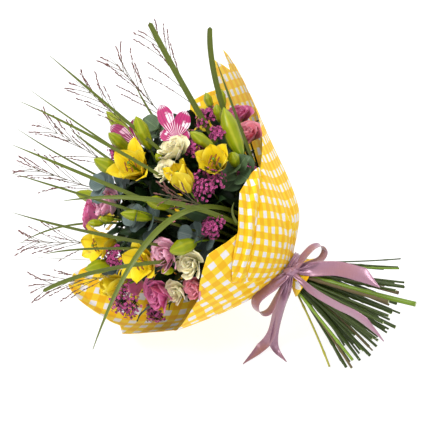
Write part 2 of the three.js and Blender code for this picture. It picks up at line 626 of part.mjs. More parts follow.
/** The stems with their buds, their leaves and the long grass blades, joined where the ribbon ties them. */
function stemsAndBlades(grow) {
  const tie = stalk(
    [AXIS.clone().multiplyScalar(-13), AXIS.clone().multiplyScalar(13)], [BUNDLE_RADIUS, BUNDLE_RADIUS],
    12, grow,
  );
  const parts = [tie];
  let number = 0;
  const grown = [
    ...HEADS.map((head) => ({ ...head, path: paths.get(head.name) })),
    ...BUDS.map((bud) => ({
      ...bud, stem: 1.7,
      path: stemPath(bud.seat, direction(...bud.face), bud.from && paths.get(bud.from)),
    })),
  ];
  for (const { seat, from, path, stem } of grown) {
    parts.push(stalk(path, path.map((_, i) => stem * (1 - 0.08 * i)), stem > 2 ? 4 : 3, grow));
    if (from || stem < 1.1) continue;
    const low = [cutEnd(seat[0], seat[1], number++), path[0].clone().addScaledVector(AXIS, 3)];
    parts.push(stalk(low, [stem * 1.35, stem * 1.2], stem > 1.8 ? 4 : 3, grow));
  }
  for (const { seat, face, length, width } of BUDS) {
    const facing = direction(...face);
    const foot = direction(seat[0], seat[1]).multiplyScalar(seat[2]).addScaledVector(facing, -2);
    parts.push(lilyBud(frameAt(foot, facing), { length, width: width + 2 * grow }));
  }
  for (const { by, bend, tip, width, cut, twist } of BLADES) {
    const start = slot(by[0], by[1]);
    const [exit, end] = [by, tip].map(reachTo);
    const curve = bend
      ? new THREE.CubicBezierCurve3(start, exit, reachTo(bend), end)
      : new THREE.QuadraticBezierCurve3(start, exit.clone().multiplyScalar(BLADE_ARCH), end);
    const outward = direction(RIGHT_ANGLE, by[1] + (twist ?? 0));
    const shares = bend ? BENT_BLADE : cut ? CUT_BLADE : POINTED_BLADE;
    const stations = pathFrames(curve.getPoints(shares.length - 1)).map(({ point, tangent }, i) => {
      const half = Math.max((width * shares[i]) / 2, 0.01);
      const across = new THREE.Vector3().crossVectors(tangent, outward).setLength(half);
      const facing = new THREE.Vector3().crossVectors(across, tangent).normalize();
      return { point, across: shares[i] ? across : null, facing, cup: 0.12 * width * shares[i] };
    });
    parts.push(blade(stations, 1.4, grow));
    if (width < 8) continue;
    const low = [cutEnd(by[0], by[1], number++), start.clone().addScaledVector(AXIS, 3)];
    parts.push(stalk(low, [1.9, 1.7], 4, grow));
  }
  for (const { turn, spread, length, radius } of CUT_STEMS) {
    const start = slot(spread, turn);
    const end = start.clone().addScaledVector(direction(spread, turn), -length);
    const low = [end.setZ(Math.max(end.z, TABLE + 2 * radius)), start.clone().addScaledVector(AXIS, 3)];
    parts.push(stalk(low, [radius, radius], 5, grow));
  }
  return join(parts);
}

// The wrap: one sheet rolled round the heads, gathered at the tie, low in front and high behind.
// Its profile gives [along, near, far]: the height along the axis, the radius, and the radius on the
// straighter side.
const WRAP_PROFILE = [
  [-34, 38, 38], [-16, 24, 24], [-8, 20.5, 20.5], [0, 20.5, 20.5], [8, 22, 24], [22, 56, 62], [38, 88, 91],
  [70, 132, 118], [115, 186, 149], [150, 215, 174], [200, 248, 212], [255, 268, 248], [320, 272, 282],
  [352, 269, 296],
];
const WRAP_STRAIGHT_TURN = 313; // the middle of the straighter side
// The rim: [degrees round the axis, height along it]. Its last part is the flap that lies over the first.
const WRAP_RIM = [
  [14, 104], [40, 108], [47, 116], [56, 132], [70, 122], [84, 110], [104, 112], [120, 116], [126, 122],
  [131, 196], [146, 212], [153, 246], [157, 300], [163, 338], [171, 345], [179, 328], [188, 286], [205, 298],
  [223, 305], [245, 282], [262, 320], [278, 280], [293, 310], [303, 268], [312, 294], [317, 270], [320, 222],
  [323, 194], [333, 158], [343, 142], [356, 130], [370, 138], [382, 138], [398, 110], [412, 96],
  [424, 82], [430, 76],
];

// How far the sheet's outer end lies outside its inner end, at the tie and above.
const WRAP_LAYERS = [2.4, 5];
const WRAP_PLEAT = 5; // how far its pleats stand out
const WRAP_PLEATS = 7;
const WRAP_ROWS = 7;
const MERIDIAN_STEPS = 120;

/** A sheet of cloth as a closed shell: a grid of points, the way each faces, and its thickness. */
function shell(grid, normals, thickness) {
  const [columns, rows] = [grid.length, grid[0].length];
  const offset = (side) => {
    return grid.flatMap((column, c) => column.map((p, r) => p.clone().addScaledVector(normals[c][r], side)));
  };
  const outside = offset(thickness / 2).map(aboveTable);
  const inside = offset(-thickness / 2).map((p) => p.setZ(Math.max(p.z, TABLE + thickness)));
  const at = (c, r, layer) => layer * columns * rows + c * rows + r;
  const triangles = [];
  const quad = (a, b, c, d) => triangles.push(a, b, c, a, c, d);
  for (let c = 0; c + 1 < columns; c++) {
    for (let r = 0; r + 1 < rows; r++) {
      quad(at(c, r, 0), at(c + 1, r, 0), at(c + 1, r + 1, 0), at(c, r + 1, 0));
      const [a, b, d, e] = [at(c, r, 1), at(c + 1, r, 1), at(c + 1, r + 1, 1), at(c, r + 1, 1)];
      triangles.push(a, d, b, a, e, d);
    }
    quad(at(c, 0, 1), at(c + 1, 0, 1), at(c + 1, 0, 0), at(c, 0, 0));
    quad(at(c, rows - 1, 0), at(c + 1, rows - 1, 0), at(c + 1, rows - 1, 1), at(c, rows - 1, 1));
  }
  for (let r = 0; r + 1 < rows; r++) {
    quad(at(0, r, 0), at(0, r + 1, 0), at(0, r + 1, 1), at(0, r, 1));
    quad(at(columns - 1, r, 1), at(columns - 1, r + 1, 1), at(columns - 1, r + 1, 0), at(columns - 1, r, 0));
  }
  return closedSolid([...outside, ...inside], triangles);
}

/** The wrap's line from its skirt to its highest rim, on the side of that turn, as evenly spaced points. */
function wrapMeridian(turn) {
  const straight = (0.5 + 0.5 * Math.cos(radians(turn - WRAP_STRAIGHT_TURN))) ** 1.5;
  const line = WRAP_PROFILE.map(([along, near, far]) => new THREE.Vector2(
    along, THREE.MathUtils.lerp(near, far, straight),
  ));
  return new THREE.SplineCurve(line).getSpacedPoints(MERIDIAN_STEPS);
}

function wrap(grow) {
  const [first, last] = [WRAP_RIM[0][0], WRAP_RIM[WRAP_RIM.length - 1][0]];
  const grid = [];
  const normals = [];
  for (const [turn, height] of WRAP_RIM) {
    const share = (turn - first) / (last - first);
    const meridian = wrapMeridian(turn);
    const end = meridian.findIndex((p) => p.x >= height) / MERIDIAN_STEPS;
    const column = [];
    const facings = [];
    for (let row = 0; row <= WRAP_ROWS; row++) {
      const spaced = row < 2 ? 0.07 * row : THREE.MathUtils.lerp(0.105, end, (row - 2) / (WRAP_ROWS - 2));
      const index = Math.min(Math.round(spaced * MERIDIAN_STEPS), MERIDIAN_STEPS - 1);
      const slope = meridian[index + 1].clone().sub(meridian[Math.max(index - 1, 0)]).normalize();
      const spread = THREE.MathUtils.smoothstep(meridian[index].x, 10, 120);
      const pleat = WRAP_PLEAT * Math.sin(radians(turn * WRAP_PLEATS)) * spread;
      const layer = THREE.MathUtils.lerp(
        ...WRAP_LAYERS, THREE.MathUtils.smoothstep(meridian[index].x, 12, 60),
      );
      const radius = meridian[index].y + layer * share + pleat;
      const outward = direction(RIGHT_ANGLE, turn);
      column.push(outward.clone().multiplyScalar(radius).addScaledVector(AXIS, meridian[index].x));
      facings.push(outward.multiplyScalar(slope.x).addScaledVector(AXIS, -slope.y));
    }
    grid.push(column);
    normals.push(facings);
  }
  return shell(grid, normals, WRAP_THICKNESS + 2 * grow);
}

// The ribbon. Its frame has X down the stems, Y across them and Z out of the knot, towards the front.
const KNOT_TURN = 43;
const BAND_RADIUS = 28;
const BAND_WIDTH = 13;
const TO_STEMS = AXIS.clone().negate();
const OUT = direction(RIGHT_ANGLE, KNOT_TURN);
const ACROSS = direction(RIGHT_ANGLE, KNOT_TURN - RIGHT_ANGLE);
const KNOT_REACH = BAND_RADIUS + 6;
const fromKnot = ([x, y, z]) =>
  OUT.clone().multiplyScalar(KNOT_REACH + z).addScaledVector(TO_STEMS, x).addScaledVector(ACROSS, y);

/**
 * A strip of ribbon along a path, lying across the given way at each point. Its ends give the shares of
 * the full width that it has where it starts and where it stops.
 */
function strip(points, ends, acrossAt, grow) {
  const curve = new THREE.CatmullRomCurve3(points);
  const frames = pathFrames(curve.getPoints(points.length - 1));
  const rings = frames.map(({ point, tangent }, i) => {
    const share = i === 0 ? ends[0] : i === frames.length - 1 ? ends[1] : 1;
    const across = acrossAt(tangent, i / (frames.length - 1)).clone();
    across.addScaledVector(tangent, -across.dot(tangent)).setLength((share * RIBBON_WIDTH) / 2 + grow);
    const facing = new THREE.Vector3().crossVectors(tangent, across).setLength(RIBBON_THICKNESS / 2 + grow);
    return [
      point.clone().sub(across).sub(facing), point.clone().add(across).sub(facing),
      point.clone().add(across).add(facing), point.clone().sub(across).add(facing),
    ].map(aboveTable);
  });
  return loft(rings);
}

function ribbonBand(grow) {
  const half = BAND_WIDTH / 2 + grow;
  const outline = [
    [BAND_RADIUS - 1 - grow, -half], [BAND_RADIUS + 1 + grow, -half], [BAND_RADIUS + 1 + grow, half],
    [BAND_RADIUS - 1 - grow, half],
  ];
  const sides = 14;
  const rings = Array.from({ length: sides }, (_, k) =>
    outline.map(([radius, along]) => {
      return direction(RIGHT_ANGLE, (360 * k) / sides).multiplyScalar(radius).addScaledVector(AXIS, along);
    }),
  );
  const points = rings.flat();
  const triangles = [];
  for (let k = 0; k < sides; k++) {
    for (let e = 0; e < 4; e++) {
      const next = (k + 1) % sides;
      const [a, b, c, d] = [k * 4 + e, k * 4 + ((e + 1) % 4), next * 4 + ((e + 1) % 4), next * 4 + e];
      triangles.push(a, b, c, a, c, d);
    }
  }
  return closedSolid(points, triangles);
}

const LOOP_UPPER = [
  [0, 2, 0], [3, 16, 4], [5, 37, 8], [10, 55, 10], [20, 64, 10], [31, 58, 8], [31, 43, 6], [17, 24, 3],
  [0, 4, 0],
];
const LOOP_LOWER = [
  [0, -2, 0], [-18, -40, 8], [-28, -68, 8], [-24, -83, 6], [-10, -89, 4], [1, -78, 2], [0, -51, 0],
  [-1, -23, 0], [0, -4, 0],
];
const TAIL_RIGHT = [[0, 2, 0], [28, 21, 10], [62, 43, 32], [96, 54, 58], [132, 63, 82]];
const TAIL_STEMS = [
  [0, -2, 0], [26, -8, 14], [53, -11, 34], [89, -10, 62], [124, -7, 88], [162, -11, 112],
  [178, -14, 120],
];

// The hanging tails' points from the tie: to the right along the table, forwards along it, and up.
const TAIL_LEFT = [[-12, 51, -10], [-23, 54, -55], [-32, 57, -112], [-50, 62, -141], [-87, 86, TABLE + 1]];
const TAIL_FRONT = [[-7, 48, -10], [-17, 51, -55], [-25, 55, -112], [-24, 66, -141], [-11, 93, TABLE + 1]];
const VIEW_TURN = radians(23);
const RIGHTWARD = vector(Math.cos(VIEW_TURN), Math.sin(VIEW_TURN), 0);
const FORWARD = vector(Math.sin(VIEW_TURN), -Math.cos(VIEW_TURN), 0);
const onTable = ([right, forward, up]) =>
  RIGHTWARD.clone().multiplyScalar(right).addScaledVector(FORWARD, forward).setZ(up);

function ribbonBow(grow) {
  const flat = (tangent) => new THREE.Vector3().crossVectors(OUT, tangent);
  const tilted = (tangent) => flat(tangent).addScaledVector(OUT, 1.1);
  const edgeOn = () => OUT.clone().addScaledVector(TO_STEMS, 0.45);
  const turning = (tangent, share) => mix(TO_STEMS, OUT, 0.3 + 0.6 * share);
  const hanging = (right, forward) => () => onTable([right, forward, 0]);
  const [closed, cut] = [[0.45, 0.45], [0.45, 0.1]];
  const knotFrame = frameAt(fromKnot([0, 0, -4.5]), OUT, 20);
  return join([
    spindle(knotFrame, [[0, 7], [4, 10], [9, 9], [12, 5]], 8, grow),
    strip(LOOP_UPPER.map(fromKnot), closed, edgeOn, grow),
    strip(LOOP_LOWER.map(fromKnot), closed, turning, grow),
    strip(TAIL_RIGHT.map(fromKnot), cut, flat, grow),
    strip(TAIL_STEMS.map(fromKnot), cut, tilted, grow),
    strip([fromKnot([0, -4, 0]), ...TAIL_LEFT.map(onTable)], cut, hanging(0.55, 0.83), grow),
    strip([fromKnot([0, -4, 0]), ...TAIL_FRONT.map(onTable)], cut, hanging(0.85, -0.5), grow),
  ]);
}

// Assembly. A piece is cut back from the pieces before it, grown by the clearance, and keeps its largest body.
const bouquet = new THREE.Group();
const placed = [];

/** Whether two solids' boxes meet. */
function boxesMeet(a, b) {
  const [p, q] = [a.boundingBox(), b.boundingBox()];
  return [0, 1, 2].every((i) => p.min[i] <= q.max[i] && q.min[i] <= p.max[i]);
}

function addPiece(name, paint, make) {
  let solid = make(0);
  for (const grown of placed) if (boxesMeet(solid, grown)) solid = solid.subtract(grown);
  const bodies = solid.simplify(FINEST).decompose();
  solid = bodies.reduce((best, body) => (body.volume() > best.volume() ? body : best));
  placed.push(make(CLEARANCE));
  const { vertProperties, triVerts } = solid.getMesh();
  const geometry = new THREE.BufferGeometry();
  geometry.setAttribute("position", new THREE.BufferAttribute(vertProperties, 3));
  geometry.setIndex(new THREE.BufferAttribute(triVerts, 1));
  const [color, roughness] = PAINT[paint];
  const mesh = new THREE.Mesh(geometry, new THREE.MeshStandardMaterial({ color, roughness, metalness: 0 }));
  mesh.name = name;
  bouquet.add(mesh);
}

const paintOf = (name) => {
  if (name.startsWith("pink")) return "pink";
  if (name.startsWith("cream")) return "cream";
  if (name.startsWith("sea")) return "lavender";
  return name.split("_")[0];
};

const ORDER = ["butterfly", "panicle", "lily", "eucalyptus", "pink", "cream", "sea"];
addPiece("stems_and_blades", "stem", stemsAndBlades);
addPiece("wrap", "wrap", wrap);
addPiece("ribbon_band", "ribbon", ribbonBand);
addPiece("ribbon_bow", "ribbon", ribbonBow);
for (const first of ORDER) {
  for (const head of HEADS.filter(({ name }) => name.startsWith(first))) {
    const facing = direction(...head.face);
    const frame = frameAt(
      direction(head.seat[0], head.seat[1]).multiplyScalar(head.seat[2]), facing, head.spin ?? 0,
    );
    addPiece(head.name, paintOf(head.name), (grow) => head.kind(frame, head, grow));
  }
}

// The part's origin is on the table, below the middle of the bouquet's box.
const box = new THREE.Box3().setFromObject(bouquet);
const middle = box.getCenter(vector(0, 0, 0));
bouquet.position.set(-middle.x, -middle.y, BINDING_HEIGHT);

export default bouquet;
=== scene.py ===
"""Dresses a hand-tied mixed bouquet that lies on a pale table, in a gingham wrap with a satin ribbon."""

from __future__ import annotations

import json
import logging
import math
import random
from dataclasses import dataclass, field
from enum import Enum
from typing import Callable, Iterable, Sequence

import bpy
import numpy as np
from mathutils import Matrix, Vector

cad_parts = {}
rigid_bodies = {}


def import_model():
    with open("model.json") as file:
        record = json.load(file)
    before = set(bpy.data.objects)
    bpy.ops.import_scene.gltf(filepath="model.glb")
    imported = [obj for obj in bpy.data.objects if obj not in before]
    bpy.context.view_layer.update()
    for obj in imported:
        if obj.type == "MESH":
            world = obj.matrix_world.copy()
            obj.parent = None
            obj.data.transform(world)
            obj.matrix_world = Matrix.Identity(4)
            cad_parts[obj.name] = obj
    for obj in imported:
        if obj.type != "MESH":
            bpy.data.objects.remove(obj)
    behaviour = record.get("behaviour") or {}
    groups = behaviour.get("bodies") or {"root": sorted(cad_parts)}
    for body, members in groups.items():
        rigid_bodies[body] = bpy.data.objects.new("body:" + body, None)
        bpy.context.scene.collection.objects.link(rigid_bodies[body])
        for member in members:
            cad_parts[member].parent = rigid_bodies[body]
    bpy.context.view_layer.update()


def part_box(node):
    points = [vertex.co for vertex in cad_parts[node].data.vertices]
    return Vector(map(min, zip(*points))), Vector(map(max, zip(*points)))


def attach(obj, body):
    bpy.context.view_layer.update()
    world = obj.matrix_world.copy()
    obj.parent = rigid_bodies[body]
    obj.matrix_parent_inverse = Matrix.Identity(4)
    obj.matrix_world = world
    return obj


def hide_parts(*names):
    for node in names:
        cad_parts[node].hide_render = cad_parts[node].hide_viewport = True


LOG = logging.getLogger("bouquet")
AXIS_TILT = math.radians(20)
AXIS = Vector((-math.cos(AXIS_TILT), 0, math.sin(AXIS_TILT)))
TOP = Vector((math.sin(AXIS_TILT), 0, math.cos(AXIS_TILT)))
SIDE = Vector((0, -1, 0))
UP = Vector((0, 0, 1))
RIGHT_ANGLE = 90
GOLDEN_SHARE = 3 - math.sqrt(5)
CURVE_STEPS = 24

# The stems: their bundle at the tie, the outermost ones' distance from its edge, and their lower halves.
BUNDLE_RADIUS = 0.017
THICK_STEM = 0.003
STEM_LENGTH = 0.205
SHORT_STEM = 0.8
STEM_SPREAD = 0.74
WIDEST_LEAN = 60
WIDEST_CUT_LEAN = 52
CUT_END_HEIGHT = 0.004
BRANCH_START = 0.7
SEAT_GAP = 0.0007
ROOT = "root"

Polar = tuple[float, float, float]
Lean = tuple[float, float]
Color = tuple[float, float, float]


class Kind(Enum):
    """The kinds of head that a stalk carries. A head's name holds its kind."""

    LILY = "lily"
    LISIANTHUS = "lisianthus"
    SEALAVENDER = "sea_lavender"
    EUCALYPTUS = "eucalyptus"
    PANICLE = "panicle"
    BUTTERFLY = "butterfly"


@dataclass(frozen=True)
class Head:
    """One head: its name, where its stalk ends, the way it faces, its size and its stalk's radius."""

    name: str
    seat: Polar
    face: Lean
    size: float
    stem: float
    open: float = 0.5
    spin: float = 0
    parent: str = ""

    @property
    def kind(self) -> Kind:
        """The head's kind."""
        return next(kind for kind in Kind if kind.value in self.name)


@dataclass(frozen=True)
class Bud:
    """A bud that grows on a lily's or a lisianthus's stem."""

    seat: Polar
    face: Lean
    length: float
    width: float
    parent: str = ""


@dataclass(frozen=True)
class Blade:
    """A long grass blade: where it leaves the heads, its tip and its greatest width."""

    by: Polar
    tip: Polar
    width: float
    cut: bool = False
    bend: Polar | None = None
    twist: float = 0


@dataclass(frozen=True)
class CutStem:
    """A stem that shows only below the tie. Its finish is its number in the stems' materials."""

    turn: float
    spread: float
    length: float
    radius: float
    finish: int


CUT_STEMS = (
    CutStem(191, 30, 0.236, 0.0044, 1),
    CutStem(-37, 39.5, 0.196, 0.0019, 3),
    CutStem(214, 22, 0.214, 0.003, 0),
)

# The arrangement, in degrees and metres. A seat or a tip is its lean from the axis, its turn round the axis
# and its reach from the tie. A face is the lean and the turn of the way that the head looks.
HEADS = (
    Head("lily_1", (24, 36, 0.32), (60, 38), 0.066, 0.0024, open=0.6, spin=30),
    Head("lily_2", (39, 33, 0.268), (43, 8), 0.058, 0.0022, open=0.12),
    Head("lily_3", (42, 14, 0.252), (70, 26), 0.054, 0.0024),
    Head("lily_4", (30, -62, 0.275), (40, -50), 0.06, 0.0024, open=0.3),
    Head("lily_5", (27, 91, 0.315), (54, 84), 0.058, 0.0024),
    Head("lily_6", (39, 80, 0.265), (66, 62), 0.058, 0.0024, open=0.6, spin=30),
    Head("lily_7", (38, 106, 0.288), (46, 88), 0.05, 0.0022, open=0.2, parent="lily_5"),
    Head("lily_8", (20, 186, 0.325), (34, 190), 0.074, 0.0024, open=0.6),
    Head("lily_9", (36, 236, 0.285), (48, 240), 0.074, 0.0024, open=0.45),
    Head("pink_lisianthus_1", (43, -36, 0.234), (58, 8), 0.036, 0.0019, open=0.3),
    Head("pink_lisianthus_2", (41, -49, 0.271), (56, -14), 0.034, 0.0019, open=0.4),
    Head("pink_lisianthus_3", (43, 68, 0.25), (58, 72), 0.038, 0.0019),
    Head("pink_lisianthus_4", (46, 94, 0.235), (64, 92), 0.042, 0.0019),
    Head("pink_lisianthus_5", (53, 80, 0.198), (70, 82), 0.03, 0.0019, open=0.2),
    Head("pink_lisianthus_6", (22, 68, 0.33), (34, 62), 0.04, 0.0019, open=0.6),
    Head("pink_lisianthus_7", (16, 106, 0.345), (24, 108), 0.036, 0.0019),
    Head("pink_lisianthus_8", (37, 160, 0.275), (48, 162), 0.04, 0.0019),
    Head("pink_lisianthus_9", (40, 208, 0.26), (52, 208), 0.04, 0.0019),
    Head("pink_lisianthus_10", (27, 276, 0.315), (36, 276), 0.04, 0.0019),
    Head("cream_lisianthus_1", (32, 17, 0.3), (44, 12), 0.038, 0.0019),
    Head("cream_lisianthus_2", (33, 30, 0.298), (46, 36), 0.028, 0.0016, parent="cream_lisianthus_1"),
    Head("cream_lisianthus_3", (50, 66, 0.222), (64, 62), 0.033, 0.0019),
    Head("cream_lisianthus_4", (50, 87, 0.222), (64, 80), 0.027, 0.0016, parent="pink_lisianthus_5"),
    Head("cream_lisianthus_5", (25, 222, 0.325), (34, 222), 0.038, 0.0019),
    Head("cream_lisianthus_6", (31, 296, 0.292), (40, 294), 0.036, 0.0019),
    Head("sea_lavender_1", (42, 26, 0.238), (58, 24), 0.027, 0.0014),
    Head("sea_lavender_2", (47, 44, 0.208), (64, 44), 0.017, 0.0012),
    Head("sea_lavender_3", (36, 10, 0.282), (48, 14), 0.016, 0.0012),
    Head("sea_lavender_4", (39, -6, 0.272), (52, 0), 0.013, 0.0012),
    Head("sea_lavender_5", (42, 105, 0.269), (58, 102), 0.032, 0.0014),
    Head("sea_lavender_6", (34, 88, 0.306), (50, 84), 0.016, 0.0012),
    Head("sea_lavender_7", (47, 2, 0.208), (60, 2), 0.015, 0.0012),
    Head("sea_lavender_8", (34, -18, 0.285), (46, -16), 0.02, 0.0013),
    Head("sea_lavender_9", (47, 128, 0.232), (62, 126), 0.018, 0.0012),
    Head("sea_lavender_10", (17, 28, 0.352), (26, 30), 0.017, 0.0012),
    Head("sea_lavender_11", (44, 184, 0.25), (56, 184), 0.022, 0.0013),
    Head("sea_lavender_12", (41, 262, 0.262), (54, 262), 0.022, 0.0013),
    Head("eucalyptus_1", (17, 60, 0.325), (58, 52), 0.044, 0.0015),
    Head("eucalyptus_2", (33, 58, 0.265), (40, 66), 0.046, 0.0015),
    Head("eucalyptus_3", (22, -2, 0.3), (48, 20), 0.044, 0.0015),
    Head("eucalyptus_4", (45, 6, 0.21), (62, 30), 0.034, 0.0015),
    Head("eucalyptus_5", (42, 52, 0.175), (48, 60), 0.052, 0.0015),
    Head("eucalyptus_6", (30, 148, 0.28), (36, 150), 0.05, 0.0015),
    Head("eucalyptus_7", (20, 300, 0.268), (26, 300), 0.052, 0.0015),
    Head("eucalyptus_8", (41, 232, 0.228), (48, 234), 0.05, 0.0015),
    Head("eucalyptus_9", (29, 176, 0.262), (34, 178), 0.05, 0.0015),
    Head("butterfly_1", (32, 11, 0.318), (75, 42), 0.098, 0.0008, spin=-74),
    Head("butterfly_2", (21, 18, 0.344), (75, 42), 0.09, 0.0008, spin=-45),
    Head("panicle_1", (30, -34, 0.33), (32, -30), 0.165, 0.001),
    Head("panicle_2", (24, -12, 0.345), (25, -8), 0.15, 0.001),
    Head("panicle_3", (13, -14, 0.365), (16, -16), 0.14, 0.001),
    Head("panicle_4", (11, 44, 0.36), (14, 30), 0.155, 0.001),
    Head("panicle_5", (9, 104, 0.365), (16, 84), 0.15, 0.001),
    Head("panicle_6", (23, 128, 0.345), (28, 118), 0.14, 0.001),
    Head("panicle_7", (33, 122, 0.31), (38, 112), 0.15, 0.001),
    Head("panicle_8", (45, 36, 0.245), (36, 60), 0.095, 0.001),
)

BUDS = (
    Bud((25, 19, 0.335), (52, 4), 0.068, 0.025, parent="lily_1"),
    Bud((19, 24, 0.35), (46, 32), 0.062, 0.021, parent="lily_1"),
    Bud((22, 44, 0.345), (40, 44), 0.066, 0.025, parent="lily_1"),
    Bud((40, 5, 0.275), (40, 38), 0.06, 0.021, parent="lily_3"),
    Bud((45, -4, 0.238), (40, -40), 0.086, 0.031),
    Bud((46, 6, 0.236), (68, 22), 0.046, 0.02, parent="lily_3"),
    Bud((36, 46, 0.28), (58, 52), 0.06, 0.022, parent="lily_2"),
    Bud((35, 56, 0.292), (46, 66), 0.066, 0.019, parent="lily_2"),
    Bud((47, 56, 0.235), (64, 78), 0.06, 0.026),
    Bud((34, 94, 0.31), (54, 82), 0.066, 0.024, parent="lily_5"),
    Bud((12, 168, 0.352), (20, 165), 0.064, 0.023, parent="lily_8"),
    Bud((30, 256, 0.32), (40, 262), 0.064, 0.023, parent="lily_9"),
    Bud((10, 330, 0.36), (16, 325), 0.064, 0.023),
    Bud((23, 86, 0.34), (36, 92), 0.028, 0.014, parent="pink_lisianthus_6"),
    Bud((26, 74, 0.332), (44, 70), 0.026, 0.013, parent="pink_lisianthus_6"),
    Bud((38, -18, 0.29), (54, -10), 0.034, 0.017, parent="pink_lisianthus_1"),
    Bud((38, -38, 0.305), (48, -34), 0.034, 0.016, parent="pink_lisianthus_1"),
    Bud((34, -40, 0.312), (40, -34), 0.03, 0.015, parent="pink_lisianthus_2"),
    Bud((46, 76, 0.245), (62, 66), 0.028, 0.014, parent="pink_lisianthus_3"),
    Bud((29, 24, 0.31), (40, 22), 0.024, 0.012, parent="cream_lisianthus_1"),
)

BLADES = (
    Blade((33, -14, 0.33), (37, -7, 0.498), 0.012, cut=True, twist=50),
    Blade((36, -21, 0.322), (46, -15, 0.45), 0.012, cut=True, twist=55),
    Blade((30, 21, 0.359), (26, 18, 0.559), 0.008),
    Blade((37, 33, 0.374), (28, 39, 0.563), 0.007),
    Blade((18, 31, 0.361), (11, 19, 0.543), 0.005),
    Blade((40, 48, 0.379), (31, 52, 0.548), 0.008),
    Blade((19, 61, 0.352), (13, 55, 0.528), 0.005),
    Blade((39, 54, 0.357), (32, 60, 0.532), 0.006),
    Blade((44, 66, 0.35), (36, 69, 0.518), 0.008),
    Blade((14, 79, 0.35), (25, 128, 0.474), 0.006),
    Blade((40, 68, 0.354), (36, 85, 0.443), 0.006),
    Blade((28, 128, 0.335), (28, 141, 0.478), 0.007),
    Blade((45, 67, 0.346), (48, 80, 0.476), 0.009, cut=True),
    Blade((57, 32, 0.333), (32, 64, 0.436), 0.011),
    Blade((48, 19, 0.334), (61, 85, 0.43), 0.012, bend=(47, 55, 0.364)),
    Blade((46, -11, 0.22), (48, -6, 0.407), 0.007, twist=45),
    Blade((53, 42, 0.215), (58, 30, 0.258), 0.006),
    Blade((16, 220, 0.365), (20, 228, 0.52), 0.008),
    Blade((26, 252, 0.34), (30, 262, 0.5), 0.009),
)


def direction(lean: float, turn: float) -> Vector:
    """A direction that leans from the bouquet's axis.

    Args:
        lean: Degrees from the axis.
        turn: Degrees round the axis, from the top towards the near side.

    Returns:
        A unit vector.
    """
    outward = TOP * math.cos(math.radians(turn)) + SIDE * math.sin(math.radians(turn))
    return AXIS * math.cos(math.radians(lean)) + outward * math.sin(math.radians(lean))


def frame_at(origin: Vector, facing: Vector, spin: float = 0) -> Matrix:
    """A frame whose Z is the facing direction, turned about it by spin degrees.

    Args:
        origin: Where the frame stands.
        facing: The unit direction of its Z.
        spin: Degrees about Z.

    Returns:
        A 4 by 4 matrix.
    """
    x = (TOP if abs(facing.dot(SIDE)) > 0.9 else SIDE).cross(facing).normalized()
    y = facing.cross(x)
    basis = Matrix((x, y, facing)).transposed().to_4x4()
    return Matrix.Translation(origin) @ basis @ Matrix.Rotation(math.radians(spin), 4, "Z")


def apply(frame: Matrix, points: np.ndarray) -> np.ndarray:
    """Moves points, an array that ends in three numbers a point, by a frame."""
    matrix = np.array(frame)
    return points @ matrix[:3, :3].T + matrix[:3, 3]


def listed(places: Iterable[Vector]) -> np.ndarray:
    """Places or directions as an array of n by 3."""
    return np.array([tuple(place) for place in places], dtype=float)


def smooth_path(points: Sequence[Vector], count: int) -> np.ndarray:
    """Points at even steps along a rounded curve through the given points.

    Args:
        points: What the curve passes.
        count: How many points to return.

    Returns:
        An array of count by 3.
    """
    given = listed(points)
    padded = np.vstack([2 * given[0] - given[1], given, 2 * given[-1] - given[-2]])
    dense = []
    for i in range(1, len(padded) - 2):
        a, b, c, d = padded[i - 1 : i + 3]
        for t in np.linspace(0, 1, CURVE_STEPS, endpoint=False):
            place = 2 * b + (c - a) * t + (2 * a - 5 * b + 4 * c - d) * t**2
            dense.append(0.5 * (place + (3 * b - a - 3 * c + d) * t**3))
    dense.append(padded[-2])
    line = np.array(dense)
    steps = np.concatenate([[0], np.cumsum(np.linalg.norm(np.diff(line, axis=0), axis=1))])
    even = np.linspace(0, steps[-1], count)
    return np.stack([np.interp(even, steps, line[:, k]) for k in range(3)], axis=1)


def path_frames(path: np.ndarray) -> tuple[np.ndarray, np.ndarray, np.ndarray]:
    """The directions along a path, with normals that turn as little as they can.

    Args:
        path: Points, n by 3.

    Returns:
        Tangents, normals and binormals, each n by 3.
    """
    tangents = np.gradient(path, axis=0)
    tangents /= np.linalg.norm(tangents, axis=1, keepdims=True) + 1e-12
    normals = np.zeros_like(path)
    normal = np.array([0.0, 0.0, 1.0]) if abs(tangents[0][2]) < 0.8 else np.array([1.0, 0.0, 0.0])
    for i, tangent in enumerate(tangents):
        normal = normal - tangent * normal.dot(tangent)
        normal /= np.linalg.norm(normal)
        normals[i] = normal
    return tangents, normals, np.cross(tangents, normals)


